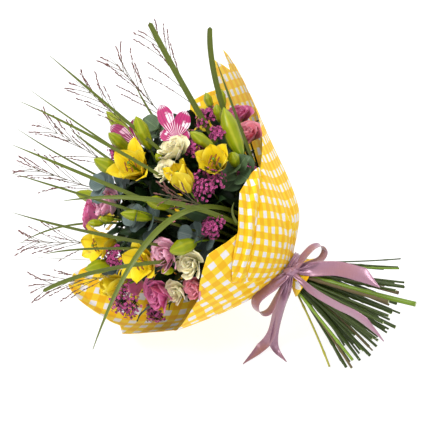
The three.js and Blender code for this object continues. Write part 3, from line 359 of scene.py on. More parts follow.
@dataclass
class MeshMaker:
    """Gathers grids and tubes into one mesh with a UV map, a tone for each point and materials."""

    points: list[np.ndarray] = field(default_factory=list)
    faces: list[np.ndarray] = field(default_factory=list)
    corners: list[np.ndarray] = field(default_factory=list)
    tones: list[np.ndarray] = field(default_factory=list)
    finishes: list[np.ndarray] = field(default_factory=list)
    count: int = 0

    def grid(
        self, points: np.ndarray, tone: float = 0.5, finish: int = 0, closed: bool = False,
        across: np.ndarray | None = None, along: np.ndarray | None = None,
    ) -> None:
        """Adds a sheet of quads.

        Args:
            points: An array of columns by rows by 3.
            tone: A number from 0 to 1 that the materials vary their colour with.
            finish: The material's number in the piece.
            closed: Whether the last column joins the first.
            across: The U of each column, from 0 to 1 if left out.
            along: The V of each row, from 0 to 1 if left out.
        """
        columns, rows = points.shape[:2]
        spans = columns if closed else columns - 1
        u = np.linspace(0, 1, spans + 1) if across is None else across
        v = np.linspace(0, 1, rows) if along is None else along
        i, j = (k.ravel() for k in np.meshgrid(np.arange(spans), np.arange(rows - 1), indexing="ij"))
        after = (i + 1) % columns
        quads = np.stack([i * rows + j, after * rows + j, after * rows + j + 1, i * rows + j + 1], axis=1)
        corner_u = np.stack([u[i], u[i + 1], u[i + 1], u[i]], axis=1)
        corner_v = np.stack([v[j], v[j], v[j + 1], v[j + 1]], axis=1)
        self.points.append(points.reshape(-1, 3))
        self.faces.append(quads + self.count)
        self.corners.append(np.stack([corner_u, corner_v], axis=2).reshape(-1, 2))
        self.tones.append(np.full(columns * rows, tone))
        self.finishes.append(np.full(len(quads), finish))
        self.count += columns * rows

    def tube(
        self, path: np.ndarray, radii: Sequence[float], sides: int = 6, tone: float = 0.5, finish: int = 0
    ) -> None:
        """Adds a round stalk along a path, closed at both ends.

        Args:
            path: Points, n by 3.
            radii: One radius for each point.
            sides: Points round the stalk.
            tone: The stalk's tone.
            finish: The material's number in the piece.
        """
        tangents, normals, binormals = path_frames(path)
        ends = np.vstack([path[:1], path, path[-1:]])
        wide = np.concatenate([[1e-5], np.asarray(radii, dtype=float), [1e-5]])
        normals = np.vstack([normals[:1], normals, normals[-1:]])
        binormals = np.vstack([binormals[:1], binormals, binormals[-1:]])
        angles = np.linspace(0, 2 * math.pi, sides, endpoint=False)
        ring = (
            np.cos(angles)[:, None, None] * normals[None] + np.sin(angles)[:, None, None] * binormals[None]
        ) * wide[None, :, None]
        self.grid(ends[None] + ring, tone, finish, closed=True)

    def build(self, name: str, finishes: Sequence[bpy.types.Material]) -> bpy.types.Object:
        """Makes the object, shaded smooth.

        Args:
            name: The object's name.
            finishes: Its materials, by number.

        Returns:
            The object, linked to the scene.
        """
        mesh = bpy.data.meshes.new(name)
        quads = np.vstack(self.faces)
        mesh.from_pydata(np.vstack(self.points).tolist(), [], quads.tolist())
        uv = mesh.uv_layers.new(name="surface")
        uv.data.foreach_set("uv", np.vstack(self.corners).astype(np.float32).ravel())
        tone = mesh.color_attributes.new("tone", "FLOAT_COLOR", "POINT")
        gray = np.repeat(np.concatenate(self.tones)[:, None], 4, axis=1)
        gray[:, 3] = 1
        tone.data.foreach_set("color", gray.astype(np.float32).ravel())
        for finish in finishes:
            mesh.materials.append(finish)
        mesh.polygons.foreach_set("material_index", np.concatenate(self.finishes).astype(np.int32))
        mesh.polygons.foreach_set("use_smooth", np.full(len(quads), True))
        mesh.update()
        made = bpy.data.objects.new(name, mesh)
        bpy.context.scene.collection.objects.link(made)
        return made


@dataclass(frozen=True)
class PetalShape:
    """The shape of a petal or leaf that leaves a head's axis and bends to its tip."""

    length: float
    width: float
    lean: float
    curl: float
    outline: Callable[[np.ndarray], np.ndarray]
    foot: float = 0.003
    rise: float = 0
    cup: float = 0.003
    twist: float = 0
    ruffle: float = 0
    waves: float = 3
    groove: float = 0
    flick: float = 0
    columns: int = 9
    rows: int = 13

    def points(self, chance: random.Random) -> np.ndarray:
        """The petal's grid in its head's frame, turned towards X.

        Args:
            chance: Where its small irregularities come from.

        Returns:
            An array of columns by rows by 3.
        """
        t = np.linspace(0, 1, self.rows)
        s = np.linspace(-1, 1, self.columns)
        angle = np.radians(self.lean + self.curl * t + self.flick * t**4)
        step = self.length / (self.rows - 1)
        x = self.foot + np.concatenate([[0], np.cumsum(np.sin(angle[1:]) * step)])
        z = self.rise + np.concatenate([[0], np.cumsum(np.cos(angle[1:]) * step)])
        facing = np.stack([-np.cos(angle), np.zeros_like(angle), np.sin(angle)], axis=1)
        turn = math.radians(self.twist)
        tangent = np.array([0, math.cos(turn), 0])[None] + facing * math.sin(turn)
        wide = np.maximum(self.width / 2 * self.outline(t), 5e-5)
        phase = chance.uniform(0, 6.28)
        edge = np.abs(s)[:, None] ** 3
        wave = np.sin(2 * math.pi * self.waves * t[None] + phase + 1.2 * s[:, None]) * edge * t[None] ** 0.7
        depth = self.cup * s[:, None] ** 2 * np.sin(math.pi * np.clip(t, 0.04, 0.96))[None] ** 0.5
        depth = depth + self.ruffle * wave - self.groove * np.exp(-((s[:, None] / 0.16) ** 2))
        centre = np.stack([x, np.zeros_like(x), z], axis=1)
        breadth = s[:, None, None] * wide[None, :, None] * tangent[None]
        return centre[None] + breadth + depth[:, :, None] * facing[None]


def pointed(t: np.ndarray) -> np.ndarray:
    """The outline of a lily's tepal: narrow at the foot, broad past the middle and pointed."""
    return np.sin(math.pi * np.minimum(t, 0.999) ** 1.12) ** 0.62 * 0.98 + 0.16 * (1 - t) ** 2


def rounded(t: np.ndarray) -> np.ndarray:
    """The outline of a rose-like petal: it widens from its foot to a broad rounded rim."""
    return np.clip((0.18 + 0.95 * np.sin(math.pi * 0.56 * t**0.9)) * (1 - t**7) ** 0.5, 0, 1)


def round_leaf(t: np.ndarray) -> np.ndarray:
    """The outline of a round leaf on a short stalk."""
    disc = np.sqrt(np.clip(1 - ((t - 0.56) / 0.44) ** 2, 0, 1))
    return np.maximum(disc, 0.06 * (t < 0.3))


def long_leaf(t: np.ndarray) -> np.ndarray:
    """The outline of a narrow leaf."""
    return np.sin(math.pi * t**0.8) ** 0.85 + 0.1 * (1 - t)


def wing_outline(t: np.ndarray) -> np.ndarray:
    """The outline of a wing that is narrow at its root and broad past its middle."""
    return np.clip(0.14 + 0.95 * np.sin(math.pi * 0.62 * t**1.1) ** 1.4, 0, 1) * (1 - t**6) ** 0.7


def golden(number: int, count: int, drop: float, wobble: float, chance: random.Random) -> Vector:
    """A direction of an even spiral over a dome, moved a little.

    Args:
        number: Its place in the spiral.
        count: How many directions the spiral has.
        drop: How far below its top the dome reaches, in radii.
        wobble: How far it may turn aside, in radians.
        chance: Where that comes from.

    Returns:
        A unit vector.
    """
    height = 1 - (number + 0.5) / count * drop
    angle = number * math.pi * GOLDEN_SHARE + chance.uniform(-wobble, wobble)
    wide = math.sqrt(max(1 - height * height, 0))
    return Vector((wide * math.cos(angle), wide * math.sin(angle), height))


def round_axis(binding: Vector, turns: np.ndarray, radius: np.ndarray, along: np.ndarray) -> np.ndarray:
    """Points round the bouquet's axis.

    Args:
        binding: The binding point of the stems.
        turns: Degrees round the axis of each column.
        radius: How far each point is from the axis, columns by rows.
        along: How far each point is along the axis, columns by rows.

    Returns:
        An array of columns by rows by 3.
    """
    outward = listed(direction(RIGHT_ANGLE, turn) for turn in turns)[:, None] * radius[:, :, None]
    return np.array(tuple(binding)) + outward + np.array(tuple(AXIS)) * along[:, :, None]


def thicken(piece: bpy.types.Object, thickness: float) -> None:
    """Gives a sheet its thickness, half to each side."""
    solid = piece.modifiers.new("thickness", "SOLIDIFY")
    solid.thickness = thickness
    solid.offset = 0


@dataclass
class NodeSheet:
    """A node tree that is filled by short calls."""

    tree: bpy.types.NodeTree

    def add(self, kind: str, **settings: object) -> bpy.types.Node:
        """Adds a node and sets its properties."""
        node = self.tree.nodes.new(kind)
        for key, value in settings.items():
            setattr(node, key, value)
        return node

    def join(self, source: bpy.types.NodeSocket, target: bpy.types.NodeSocket) -> None:
        """Links two sockets."""
        self.tree.links.new(source, target)

    def feed(self, target: bpy.types.NodeSocket, value: object) -> None:
        """Links a socket, or sets its number or colour."""
        if isinstance(value, bpy.types.NodeSocket):
            self.join(value, target)
        else:
            target.default_value = value

    def math(self, operation: str, *values: object, clamp: bool = False) -> bpy.types.NodeSocket:
        """Adds a maths node for sockets or numbers, and returns its result."""
        node = self.add("ShaderNodeMath", operation=operation, use_clamp=clamp)
        for slot, value in zip(node.inputs, values):
            self.feed(slot, value)
        return node.outputs[0]

    def fill(self, node: bpy.types.Node, values: dict[str, object]) -> None:
        """Links or sets several of a node's inputs by name."""
        for key, value in values.items():
            self.feed(node.inputs[key], value)

    def times(self, first: object, second: object) -> bpy.types.NodeSocket:
        """The product of two sockets or numbers."""
        return self.math("MULTIPLY", first, second)

    def off(self, value: object, middle: float) -> bpy.types.NodeSocket:
        """How far a value is from a middle."""
        return self.math("ABSOLUTE", self.math("SUBTRACT", value, middle))

    def rays(self, value: object, middle: float) -> bpy.types.NodeSocket:
        """How far a value's part past the whole number is from a middle."""
        return self.off(self.math("FRACT", value), middle)

    def mix(self, share: object, first: object, second: object, blend: str = "MIX") -> bpy.types.NodeSocket:
        """Mixes two colours, and returns the result."""
        node = self.add("ShaderNodeMix", data_type="RGBA", blend_type=blend)
        self.feed(node.inputs["Factor"], share)
        self.feed(node.inputs[6], first)
        self.feed(node.inputs[7], second)
        return node.outputs[2]

    def step(self, value: object, low: float, high: float) -> bpy.types.NodeSocket:
        """A smooth step from 0 at low to 1 at high."""
        node = self.add("ShaderNodeMapRange", interpolation_type="SMOOTHSTEP")
        self.feed(node.inputs["Value"], value)
        node.inputs["From Min"].default_value = low
        node.inputs["From Max"].default_value = high
        return node.outputs[0]

    def noise(self, scale: object, detail: float = 3, vector: object = None) -> bpy.types.NodeSocket:
        """A noise texture's value in the object's own space."""
        node = self.add("ShaderNodeTexNoise")
        self.feed(node.inputs["Scale"], scale)
        node.inputs["Detail"].default_value = detail
        self.feed(node.inputs["Vector"], vector or self.add("ShaderNodeTexCoord").outputs["Object"])
        return node.outputs[0]


def rgba(color: Color) -> tuple[float, float, float, float]:
    """A colour with full alpha."""
    return (*color, 1)


class PaintGroups:
    """The shader node groups that the materials share."""

    def __init__(self) -> None:
        """Builds each group once."""
        self.petal = self.petal_paint()
        self.check = self.gingham_paint()
        self.weave = self.weave_relief()

    @staticmethod
    def shell(
        name: str, numbers: dict[str, float], colors: Sequence[str], outputs: Sequence[str]
    ) -> tuple[NodeSheet, dict, dict]:
        """Makes an empty node group with the surface coordinates among its inputs.

        Args:
            name: The group's name.
            numbers: Each other number that goes in, with its default.
            colors: The colours that go in, white by default.
            outputs: What it puts out: Color is a colour, and anything else a number.

        Returns:
            The group's sheet, its input sockets and its output sockets.
        """
        tree = bpy.data.node_groups.new(name, "ShaderNodeTree")
        for key, value in {"Across": 0.5, "Along": 0.5, **numbers}.items():
            socket = tree.interface.new_socket(key, in_out="INPUT", socket_type="NodeSocketFloat")
            socket.default_value = value
        for key in colors:
            socket = tree.interface.new_socket(key, in_out="INPUT", socket_type="NodeSocketColor")
            socket.default_value = rgba((1, 1, 1))
        for key in outputs:
            kind = "NodeSocketColor" if key == "Color" else "NodeSocketFloat"
            tree.interface.new_socket(key, in_out="OUTPUT", socket_type=kind)
        entry, leave = tree.nodes.new("NodeGroupInput"), tree.nodes.new("NodeGroupOutput")
        return NodeSheet(tree), dict(entry.outputs.items()), dict(leave.inputs.items())

    def petal_paint(self) -> bpy.types.NodeTree:
        """Colours a petal, leaf or stem along its length, at its edges, along its veins and in mottles."""
        numbers = {
            "Tone": 0.5, "Foot reach": 0.4, "Edge share": 0.5, "Veins": 9.0, "Vein share": 0.3,
            "Midrib share": 0.0, "Mottle": 0.3, "Mottle scale": 60.0,
        }
        colors = ("Foot", "Body", "Edge", "Vein")
        sheet, given, out = self.shell("petal paint", numbers, colors, ("Color", "Height"))
        aside = sheet.off(sheet.times(given["Across"], 2.0), 1.0)
        edge = sheet.times(sheet.math("POWER", aside, 3.0), given["Edge share"])
        reach = sheet.math("DIVIDE", given["Along"], given["Foot reach"])
        foot = sheet.math("SUBTRACT", 1.0, reach, clamp=True)
        wander = sheet.times(sheet.noise(35.0, 2), 0.6)
        lines = sheet.math("ADD", sheet.times(given["Across"], given["Veins"]), wander)
        vein = sheet.step(sheet.rays(lines, 0.5), 0.26, 0.02)
        midrib = sheet.step(aside, 0.11, 0.02)
        midrib_share = sheet.times(midrib, given["Midrib share"])
        color = sheet.mix(edge, given["Body"], given["Edge"])
        color = sheet.mix(foot, color, given["Foot"])
        color = sheet.mix(sheet.times(vein, given["Vein share"]), color, given["Vein"])
        color = sheet.mix(midrib_share, color, given["Vein"])
        speck = sheet.math("SUBTRACT", sheet.noise(given["Mottle scale"], 4), 0.5)
        mottle = sheet.math("ADD", sheet.times(speck, given["Mottle"]), 1.0)
        shade = sheet.times(mottle, sheet.math("ADD", sheet.times(given["Tone"], 0.5), 0.75))
        bright = sheet.add("ShaderNodeCombineColor")
        for slot in bright.inputs:
            sheet.join(shade, slot)
        sheet.join(sheet.mix(1.0, color, bright.outputs[0], "MULTIPLY"), out["Color"])
        height = sheet.math("ADD", sheet.times(vein, -0.35), sheet.times(speck, 0.8))
        sheet.join(sheet.math("SUBTRACT", height, midrib_share), out["Height"])
        return sheet.tree

    def weave_relief(self) -> bpy.types.NodeTree:
        """The height of a plain weave's threads over a surface measured in metres."""
        sheet, given, out = self.shell("weave relief", {"Thread": 0.001}, (), ("Height",))
        turns = sheet.math("DIVIDE", 2 * math.pi, given["Thread"])
        threads = [sheet.math("SINE", sheet.times(given[key], turns)) for key in ("Across", "Along")]
        sheet.join(sheet.times(sheet.math("ADD", *threads), 0.5), out["Height"])
        return sheet.tree

    def gingham_paint(self) -> bpy.types.NodeTree:
        """A woven check: white squares, stripes of one colour, and a deeper colour where stripes cross."""
        colors = ("Ground", "Stripe", "Cross")
        sheet, given, out = self.shell("gingham paint", {"Period": 0.029}, colors, ("Color",))
        masks = []
        for key in ("Across", "Along"):
            wobble = sheet.times(sheet.math("SUBTRACT", sheet.noise(14.0, 2), 0.5), 0.16)
            place = sheet.math("ADD", sheet.math("DIVIDE", given[key], given["Period"]), wobble)
            masks.append(sheet.step(sheet.rays(place, 0.5), 0.3, 0.24))
        color = sheet.mix(sheet.math("MAXIMUM", *masks), given["Ground"], given["Stripe"])
        sheet.join(sheet.mix(sheet.times(*masks), color, given["Cross"]), out["Color"])
        return sheet.tree


def begin(name: str) -> tuple[bpy.types.Material, NodeSheet, bpy.types.Node, bpy.types.Node]:
    """Makes a material, and returns it with its sheet, its shader and its split surface coordinates."""
    material = bpy.data.materials.new(name)
    material.use_nodes = True
    sheet = NodeSheet(material.node_tree)
    place = sheet.add("ShaderNodeSeparateXYZ")
    sheet.join(sheet.add("ShaderNodeUVMap", uv_map="surface").outputs[0], place.inputs[0])
    return material, sheet, sheet.tree.nodes["Principled BSDF"], place


@dataclass(frozen=True)
class PlantFinish:
    """The look of a petal, leaf, stem or seed head."""

    name: str
    foot: Color
    body: Color
    edge: Color
    vein: Color
    roughness: float = 0.5
    foot_reach: float = 0.4
    edge_share: float = 0.5
    veins: float = 9
    vein_share: float = 0.25
    midrib: float = 0
    mottle: float = 0.35
    mottle_scale: float = 90
    relief: float = 0.25
    glow: float = 0.0

    def make(self, groups: PaintGroups) -> bpy.types.Material:
        """Makes the material.

        Args:
            groups: The shared node groups.

        Returns:
            The material.
        """
        material, sheet, shader, place = begin(self.name)
        paint = sheet.add("ShaderNodeGroup", node_tree=groups.petal)
        sheet.fill(paint, {
            "Across": place.outputs[0], "Along": place.outputs[1],
            "Tone": sheet.add("ShaderNodeAttribute", attribute_name="tone").outputs["Fac"],
            "Foot": rgba(self.foot), "Body": rgba(self.body), "Edge": rgba(self.edge),
            "Vein": rgba(self.vein), "Foot reach": self.foot_reach, "Edge share": self.edge_share,
            "Veins": self.veins, "Vein share": self.vein_share, "Midrib share": self.midrib,
            "Mottle": self.mottle, "Mottle scale": self.mottle_scale,
        })
        bump = sheet.add("ShaderNodeBump")
        sheet.fill(bump, {"Strength": self.relief, "Distance": 0.0006, "Height": paint.outputs["Height"]})
        sheet.fill(shader, {
            "Base Color": paint.outputs["Color"], "Normal": bump.outputs[0], "Roughness": self.roughness,
            "Specular IOR Level": 0.35, "Subsurface Weight": self.glow, "Subsurface Scale": 1.0,
            "Subsurface Radius": (0.003, 0.002, 0.001),
        })
        return material


# What the stems, the eucalyptus leaves and the lisianthus petals share, and then every plant finish.
STALK = {"foot_reach": 0.3, "edge_share": 0.2, "veins": 7, "vein_share": 0.3}
LEAF = {"foot_reach": 0.3, "veins": 10, "midrib": 0.5, "mottle": 0.4, "mottle_scale": 130}
PETAL = {
    "foot_reach": 0.3, "edge_share": 0.7, "veins": 15, "vein_share": 0.22, "mottle": 0.25,
    "mottle_scale": 110, "relief": 0.3, "glow": 0.14,
}
PLANTS = {
    "stem": PlantFinish(
        "green stem", (0.026, 0.05, 0.003), (0.03, 0.052, 0.003), (0.022, 0.038, 0.003), (0.09, 0.14, 0.012),
        0.45, **STALK,
    ),
    "bright stem": PlantFinish(
        "bright lily stem", (0.21, 0.32, 0.02), (0.15, 0.25, 0.012), (0.09, 0.17, 0.008), (0.27, 0.38, 0.03),
        0.4, **{**STALK, "foot_reach": 0.25, "vein_share": 0.2},
    ),
    "brown stem": PlantFinish(
        "woody stem", (0.12, 0.07, 0.025), (0.11, 0.08, 0.03), (0.06, 0.04, 0.02), (0.2, 0.15, 0.06),
        0.6, **STALK,
    ),
    "yellow stem": PlantFinish(
        "yellow twig", (0.45, 0.33, 0.04), (0.42, 0.4, 0.04), (0.3, 0.25, 0.03), (0.5, 0.45, 0.1),
        0.5, **STALK,
    ),
    "pith": PlantFinish(
        "pale cut end", (0.45, 0.5, 0.25), (0.5, 0.55, 0.3), (0.3, 0.4, 0.12), (0.6, 0.6, 0.4), 0.7,
    ),
    "grass": PlantFinish(
        "long grass blade", (0.034, 0.058, 0.004), (0.077, 0.104, 0.006), (0.13, 0.16, 0.014),
        (0.17, 0.2, 0.03), 0.42, foot_reach=0.3, veins=11, vein_share=0.4, midrib=0.35,
    ),
    # Filler leaves whose near-black colour is partly their own dark green and partly painted shade in the
    # bouquet's deep interior. The sea lavender's stalks share this finish.
    "dark leaf": PlantFinish(
        "dark leaf", (0.01, 0.025, 0.007), (0.013, 0.034, 0.009), (0.01, 0.025, 0.008), (0.035, 0.075, 0.022),
        0.42, foot_reach=0.3, edge_share=0.3, veins=12, midrib=0.5,
    ),
    "eucalyptus": PlantFinish(
        "eucalyptus leaf", (0.07, 0.11, 0.07), (0.085, 0.125, 0.12), (0.14, 0.185, 0.17), (0.2, 0.25, 0.22),
        0.55, **{**LEAF, "edge_share": 0.55, "midrib": 0.55},
    ),
    "green leaf": PlantFinish(
        "green eucalyptus leaf", (0.05, 0.09, 0.03), (0.06, 0.105, 0.045), (0.1, 0.15, 0.075),
        (0.16, 0.22, 0.11), **LEAF,
    ),
    # The lily's edge colour, paler than its body, paints highlight along the tepals' edges.
    "lily": PlantFinish(
        "yellow lily petal", (0.5, 0.42, 0.02), (0.84, 0.64, 0.012), (0.9, 0.79, 0.11), (0.62, 0.4, 0.005),
        0.42, foot_reach=0.35, edge_share=0.6, veins=13, vein_share=0.22, midrib=0.4, mottle=0.22,
        mottle_scale=120, relief=0.35, glow=0.12,
    ),
    "lily bud": PlantFinish(
        "lily bud", (0.13, 0.23, 0.003), (0.24, 0.29, 0.002), (0.15, 0.23, 0.002), (0.46, 0.44, 0.012),
        0.38, foot_reach=0.3, edge_share=0.2, veins=6, vein_share=0.5, mottle=0.2, mottle_scale=110,
        relief=0.3, glow=0.1,
    ),
    "anther": PlantFinish(
        "lily anther", (0.22, 0.08, 0.015), (0.25, 0.09, 0.015), (0.2, 0.06, 0.01), (0.3, 0.12, 0.03), 0.8,
    ),
    "pink": PlantFinish(
        "pink petal", (0.6, 0.5, 0.3), (0.68, 0.15, 0.34), (0.76, 0.27, 0.46), (0.45, 0.05, 0.19), **PETAL,
    ),
    "pale pink": PlantFinish(
        "pale pink petal", (0.78, 0.76, 0.5), (0.82, 0.5, 0.6), (0.78, 0.3, 0.47), (0.66, 0.25, 0.4), **PETAL,
    ),
    "rose": PlantFinish(
        "coral pink petal", (0.85, 0.6, 0.4), (0.82, 0.27, 0.34), (0.86, 0.42, 0.47), (0.6, 0.12, 0.2),
        **{**PETAL, "edge_share": 0.6, "vein_share": 0.2},
    ),
    "cream": PlantFinish(
        "cream petal", (0.42, 0.52, 0.14), (0.9, 0.83, 0.55), (0.93, 0.89, 0.7), (0.66, 0.68, 0.32),
        **{**PETAL, "foot_reach": 0.4, "vein_share": 0.2, "mottle": 0.2},
    ),
    "lavender": PlantFinish(
        "sea lavender floret", (0.16, 0.015, 0.08), (0.42, 0.05, 0.19), (0.6, 0.2, 0.38), (0.2, 0.015, 0.1),
        0.85, foot_reach=0.3, edge_share=0.6, veins=5, vein_share=0.3, midrib=0.3, mottle=0.4,
        mottle_scale=160, relief=0.3, glow=0.1,
    ),
    "panicle": PlantFinish(
        "switch grass seed head", (0.16, 0.1, 0.04), (0.17, 0.065, 0.06), (0.2, 0.09, 0.07),
        (0.1, 0.03, 0.03), 0.6, foot_reach=0.2, edge_share=0.4, veins=5, vein_share=0.3, mottle=0.5,
        mottle_scale=160,
    ),
    "straw": PlantFinish(
        "fine grass stalk", (0.1, 0.11, 0.04), (0.15, 0.12, 0.07), (0.15, 0.1, 0.06), (0.1, 0.06, 0.04),
        0.55, foot_reach=0.3, edge_share=0.3, veins=5, vein_share=0.2,
    ),
}


@dataclass
class ClothFinishes:
    """The gingham, the satin, the printed wings and the table."""

    groups: PaintGroups

    def relief(
        self, sheet: NodeSheet, shader: bpy.types.Node, place: bpy.types.Node, thread: float, strength: float
    ) -> None:
        """Gives a cloth its threads.

        Args:
            sheet: The material's nodes.
            shader: Its shader.
            place: Its surface coordinates.
            thread: How wide a thread is, in metres.
            strength: How strong the relief is.
        """
        weave = sheet.add("ShaderNodeGroup", node_tree=self.groups.weave)
        sheet.fill(weave, {"Across": place.outputs[0], "Along": place.outputs[1], "Thread": thread})
        bump = sheet.add("ShaderNodeBump")
        sheet.fill(bump, {"Strength": strength, "Distance": thread / 3, "Height": weave.outputs[0]})
        sheet.join(bump.outputs[0], shader.inputs["Normal"])

    def gingham(self) -> bpy.types.Material:
        """The wrap's yellow and white check."""
        material, sheet, shader, place = begin("yellow gingham")
        check = sheet.add("ShaderNodeGroup", node_tree=self.groups.check)
        sheet.fill(check, {
            "Across": place.outputs[0], "Along": place.outputs[1], "Ground": rgba((0.8, 0.78, 0.81)),
            "Stripe": rgba((0.9, 0.61, 0.02)), "Cross": rgba((0.86, 0.46, 0.001)),
        })
        wear = sheet.times(sheet.noise(9.0, 4), 0.12)
        self.relief(sheet, shader, place, 0.0011, 0.25)
        sheet.fill(shader, {
            "Base Color": sheet.mix(wear, check.outputs["Color"], rgba((0.75, 0.62, 0.35)), "MULTIPLY"),
            "Roughness": 0.75, "Specular IOR Level": 0.25, "Sheen Weight": 0.1, "Subsurface Weight": 0.1,
            "Subsurface Radius": (0.002, 0.002, 0.001), "Subsurface Scale": 1.0,
        })
        return material

    def satin(self) -> bpy.types.Material:
        """The ribbon's mauve satin, with fine streaks along it."""
        material, sheet, shader, place = begin("mauve satin")
        streak = sheet.add("ShaderNodeCombineXYZ")
        sheet.join(sheet.times(place.outputs[0], 60.0), streak.inputs[0])
        sheet.join(sheet.times(place.outputs[1], 900.0), streak.inputs[1])
        fine = sheet.noise(1.0, 3, streak.outputs[0])
        self.relief(sheet, shader, place, 0.0006, 0.08)
        sheet.fill(shader, {
            "Base Color": sheet.mix(fine, rgba((0.3, 0.145, 0.215)), rgba((0.4, 0.215, 0.295))),
            "Roughness": 0.3, "Metallic": 0.25, "Specular IOR Level": 0.75, "Sheen Weight": 0.2,
            "Sheen Roughness": 0.4,
        })
        return material

    def wing(self, name: str, ground: Color, light: Color, dark: Color) -> bpy.types.Material:
        """A printed wing: pale patches and dark veins that spread from its root."""
        material, sheet, shader, place = begin(name)
        along, across = place.outputs[1], place.outputs[0]
        rays = sheet.rays(sheet.times(across, 5.0), 0.5)
        vein = sheet.times(sheet.step(rays, 0.14, 0.05), sheet.step(along, 0.12, 0.3))
        bend = sheet.times(sheet.math("SUBTRACT", sheet.noise(70.0, 2), 0.5), 0.5)
        warped = sheet.math("ADD", along, bend)
        blotch = sheet.times(sheet.step(warped, 0.46, 0.52), sheet.step(warped, 0.7, 0.64))
        patch = sheet.times(blotch, sheet.step(across, 0.55, 0.45))
        streak = sheet.times(sheet.step(rays, 0.3, 0.38), sheet.step(along, 0.55, 0.42))
        rim = sheet.step(along, 0.86, 0.93)
        dots = sheet.times(rim, sheet.step(rays, 0.2, 0.3))
        color = sheet.mix(sheet.math("MAXIMUM", patch, streak), rgba(ground), rgba(light))
        for share, paint in ((rim, dark), (dots, light), (vein, dark)):
            color = sheet.mix(share, color, rgba(paint))
        self.relief(sheet, shader, place, 0.02, 0.1)
        sheet.fill(shader, {"Base Color": color, "Roughness": 0.5, "Sheen Weight": 0.15})
        return material

    @staticmethod
    def table() -> bpy.types.Material:
        """The pale table top."""
        material, sheet, shader, _ = begin("pale table")
        sheet.fill(shader, {
            "Base Color": sheet.mix(sheet.noise(3.0, 2), rgba((0.34, 0.34, 0.35)), rgba((0.36, 0.36, 0.37))),
            "Roughness": 0.9, "Emission Color": rgba((1, 1, 1)), "Emission Strength": 0.76,
        })
        return material


def slot_of(lean: float, turn: float) -> Vector:
    """Where a stalk of that lean and turn crosses the tie: the stems pass it in a spiral, side by side."""
    share = min(lean / WIDEST_LEAN, 1)
    return direction(RIGHT_ANGLE, turn - RIGHT_ANGLE) * (BUNDLE_RADIUS - THICK_STEM) * math.sqrt(share)


def bezier(points: Sequence[Vector], count: int) -> np.ndarray:
    """Points of a Bezier curve with three or four control points.

    Args:
        points: The control points.
        count: How many points to return.

    Returns:
        An array of count by 3.
    """
    t = np.linspace(0, 1, count)[:, None]
    p = listed(points)
    if len(p) == 3:
        return (1 - t) ** 2 * p[0] + 2 * t * (1 - t) * p[1] + t**2 * p[2]
    return (1 - t) ** 3 * p[0] + 3 * t * (1 - t) ** 2 * p[1] + 3 * t**2 * (1 - t) * p[2] + t**3 * p[3]


@dataclass
class Arrangement:
    """Where everything of the bouquet goes, from the binding point of the stems."""

    binding: Vector
    table: float = 0.0

    def point(self, polar: Polar) -> Vector:
        """A place given by its lean, its turn and its reach from the binding point."""
        return self.binding + direction(polar[0], polar[1]) * polar[2]

    def stem_path(self, seat: Polar, face: Lean, parent: np.ndarray | None = None) -> np.ndarray:
        """A stem from the tie in a bend to its head, or a branch that leaves another stem.

        Args:
            seat: Where the head sits.
            face: The way it faces.
            parent: The points of the stem that this one leaves.

        Returns:
            Points of the stem's line.
        """
        facing = direction(*face)
        end = self.point(seat) - facing * SEAT_GAP
        if parent is None:
            start = self.binding + slot_of(seat[0], seat[1])
        else:
            start = Vector(parent[int(BRANCH_START * (len(parent) - 1))])
        span = (end - start).length
        leave = start.lerp(end, 0.45)
        arrive = end - facing * 0.3 * span
        return bezier((start, leave, arrive, end), 14)

    def cut_end(self, lean: float, turn: float, number: int) -> Vector:
        """The cut end of a stem below the tie."""
        spread = min(lean, WIDEST_CUT_LEAN) * STEM_SPREAD
        length = STEM_LENGTH * (SHORT_STEM if number % 7 == 3 else 0.94 + 0.012 * (number % 6))
        end = self.binding + slot_of(lean, turn) - direction(spread, turn) * length
        end.z = max(end.z, self.table + CUT_END_HEIGHT)
        return end


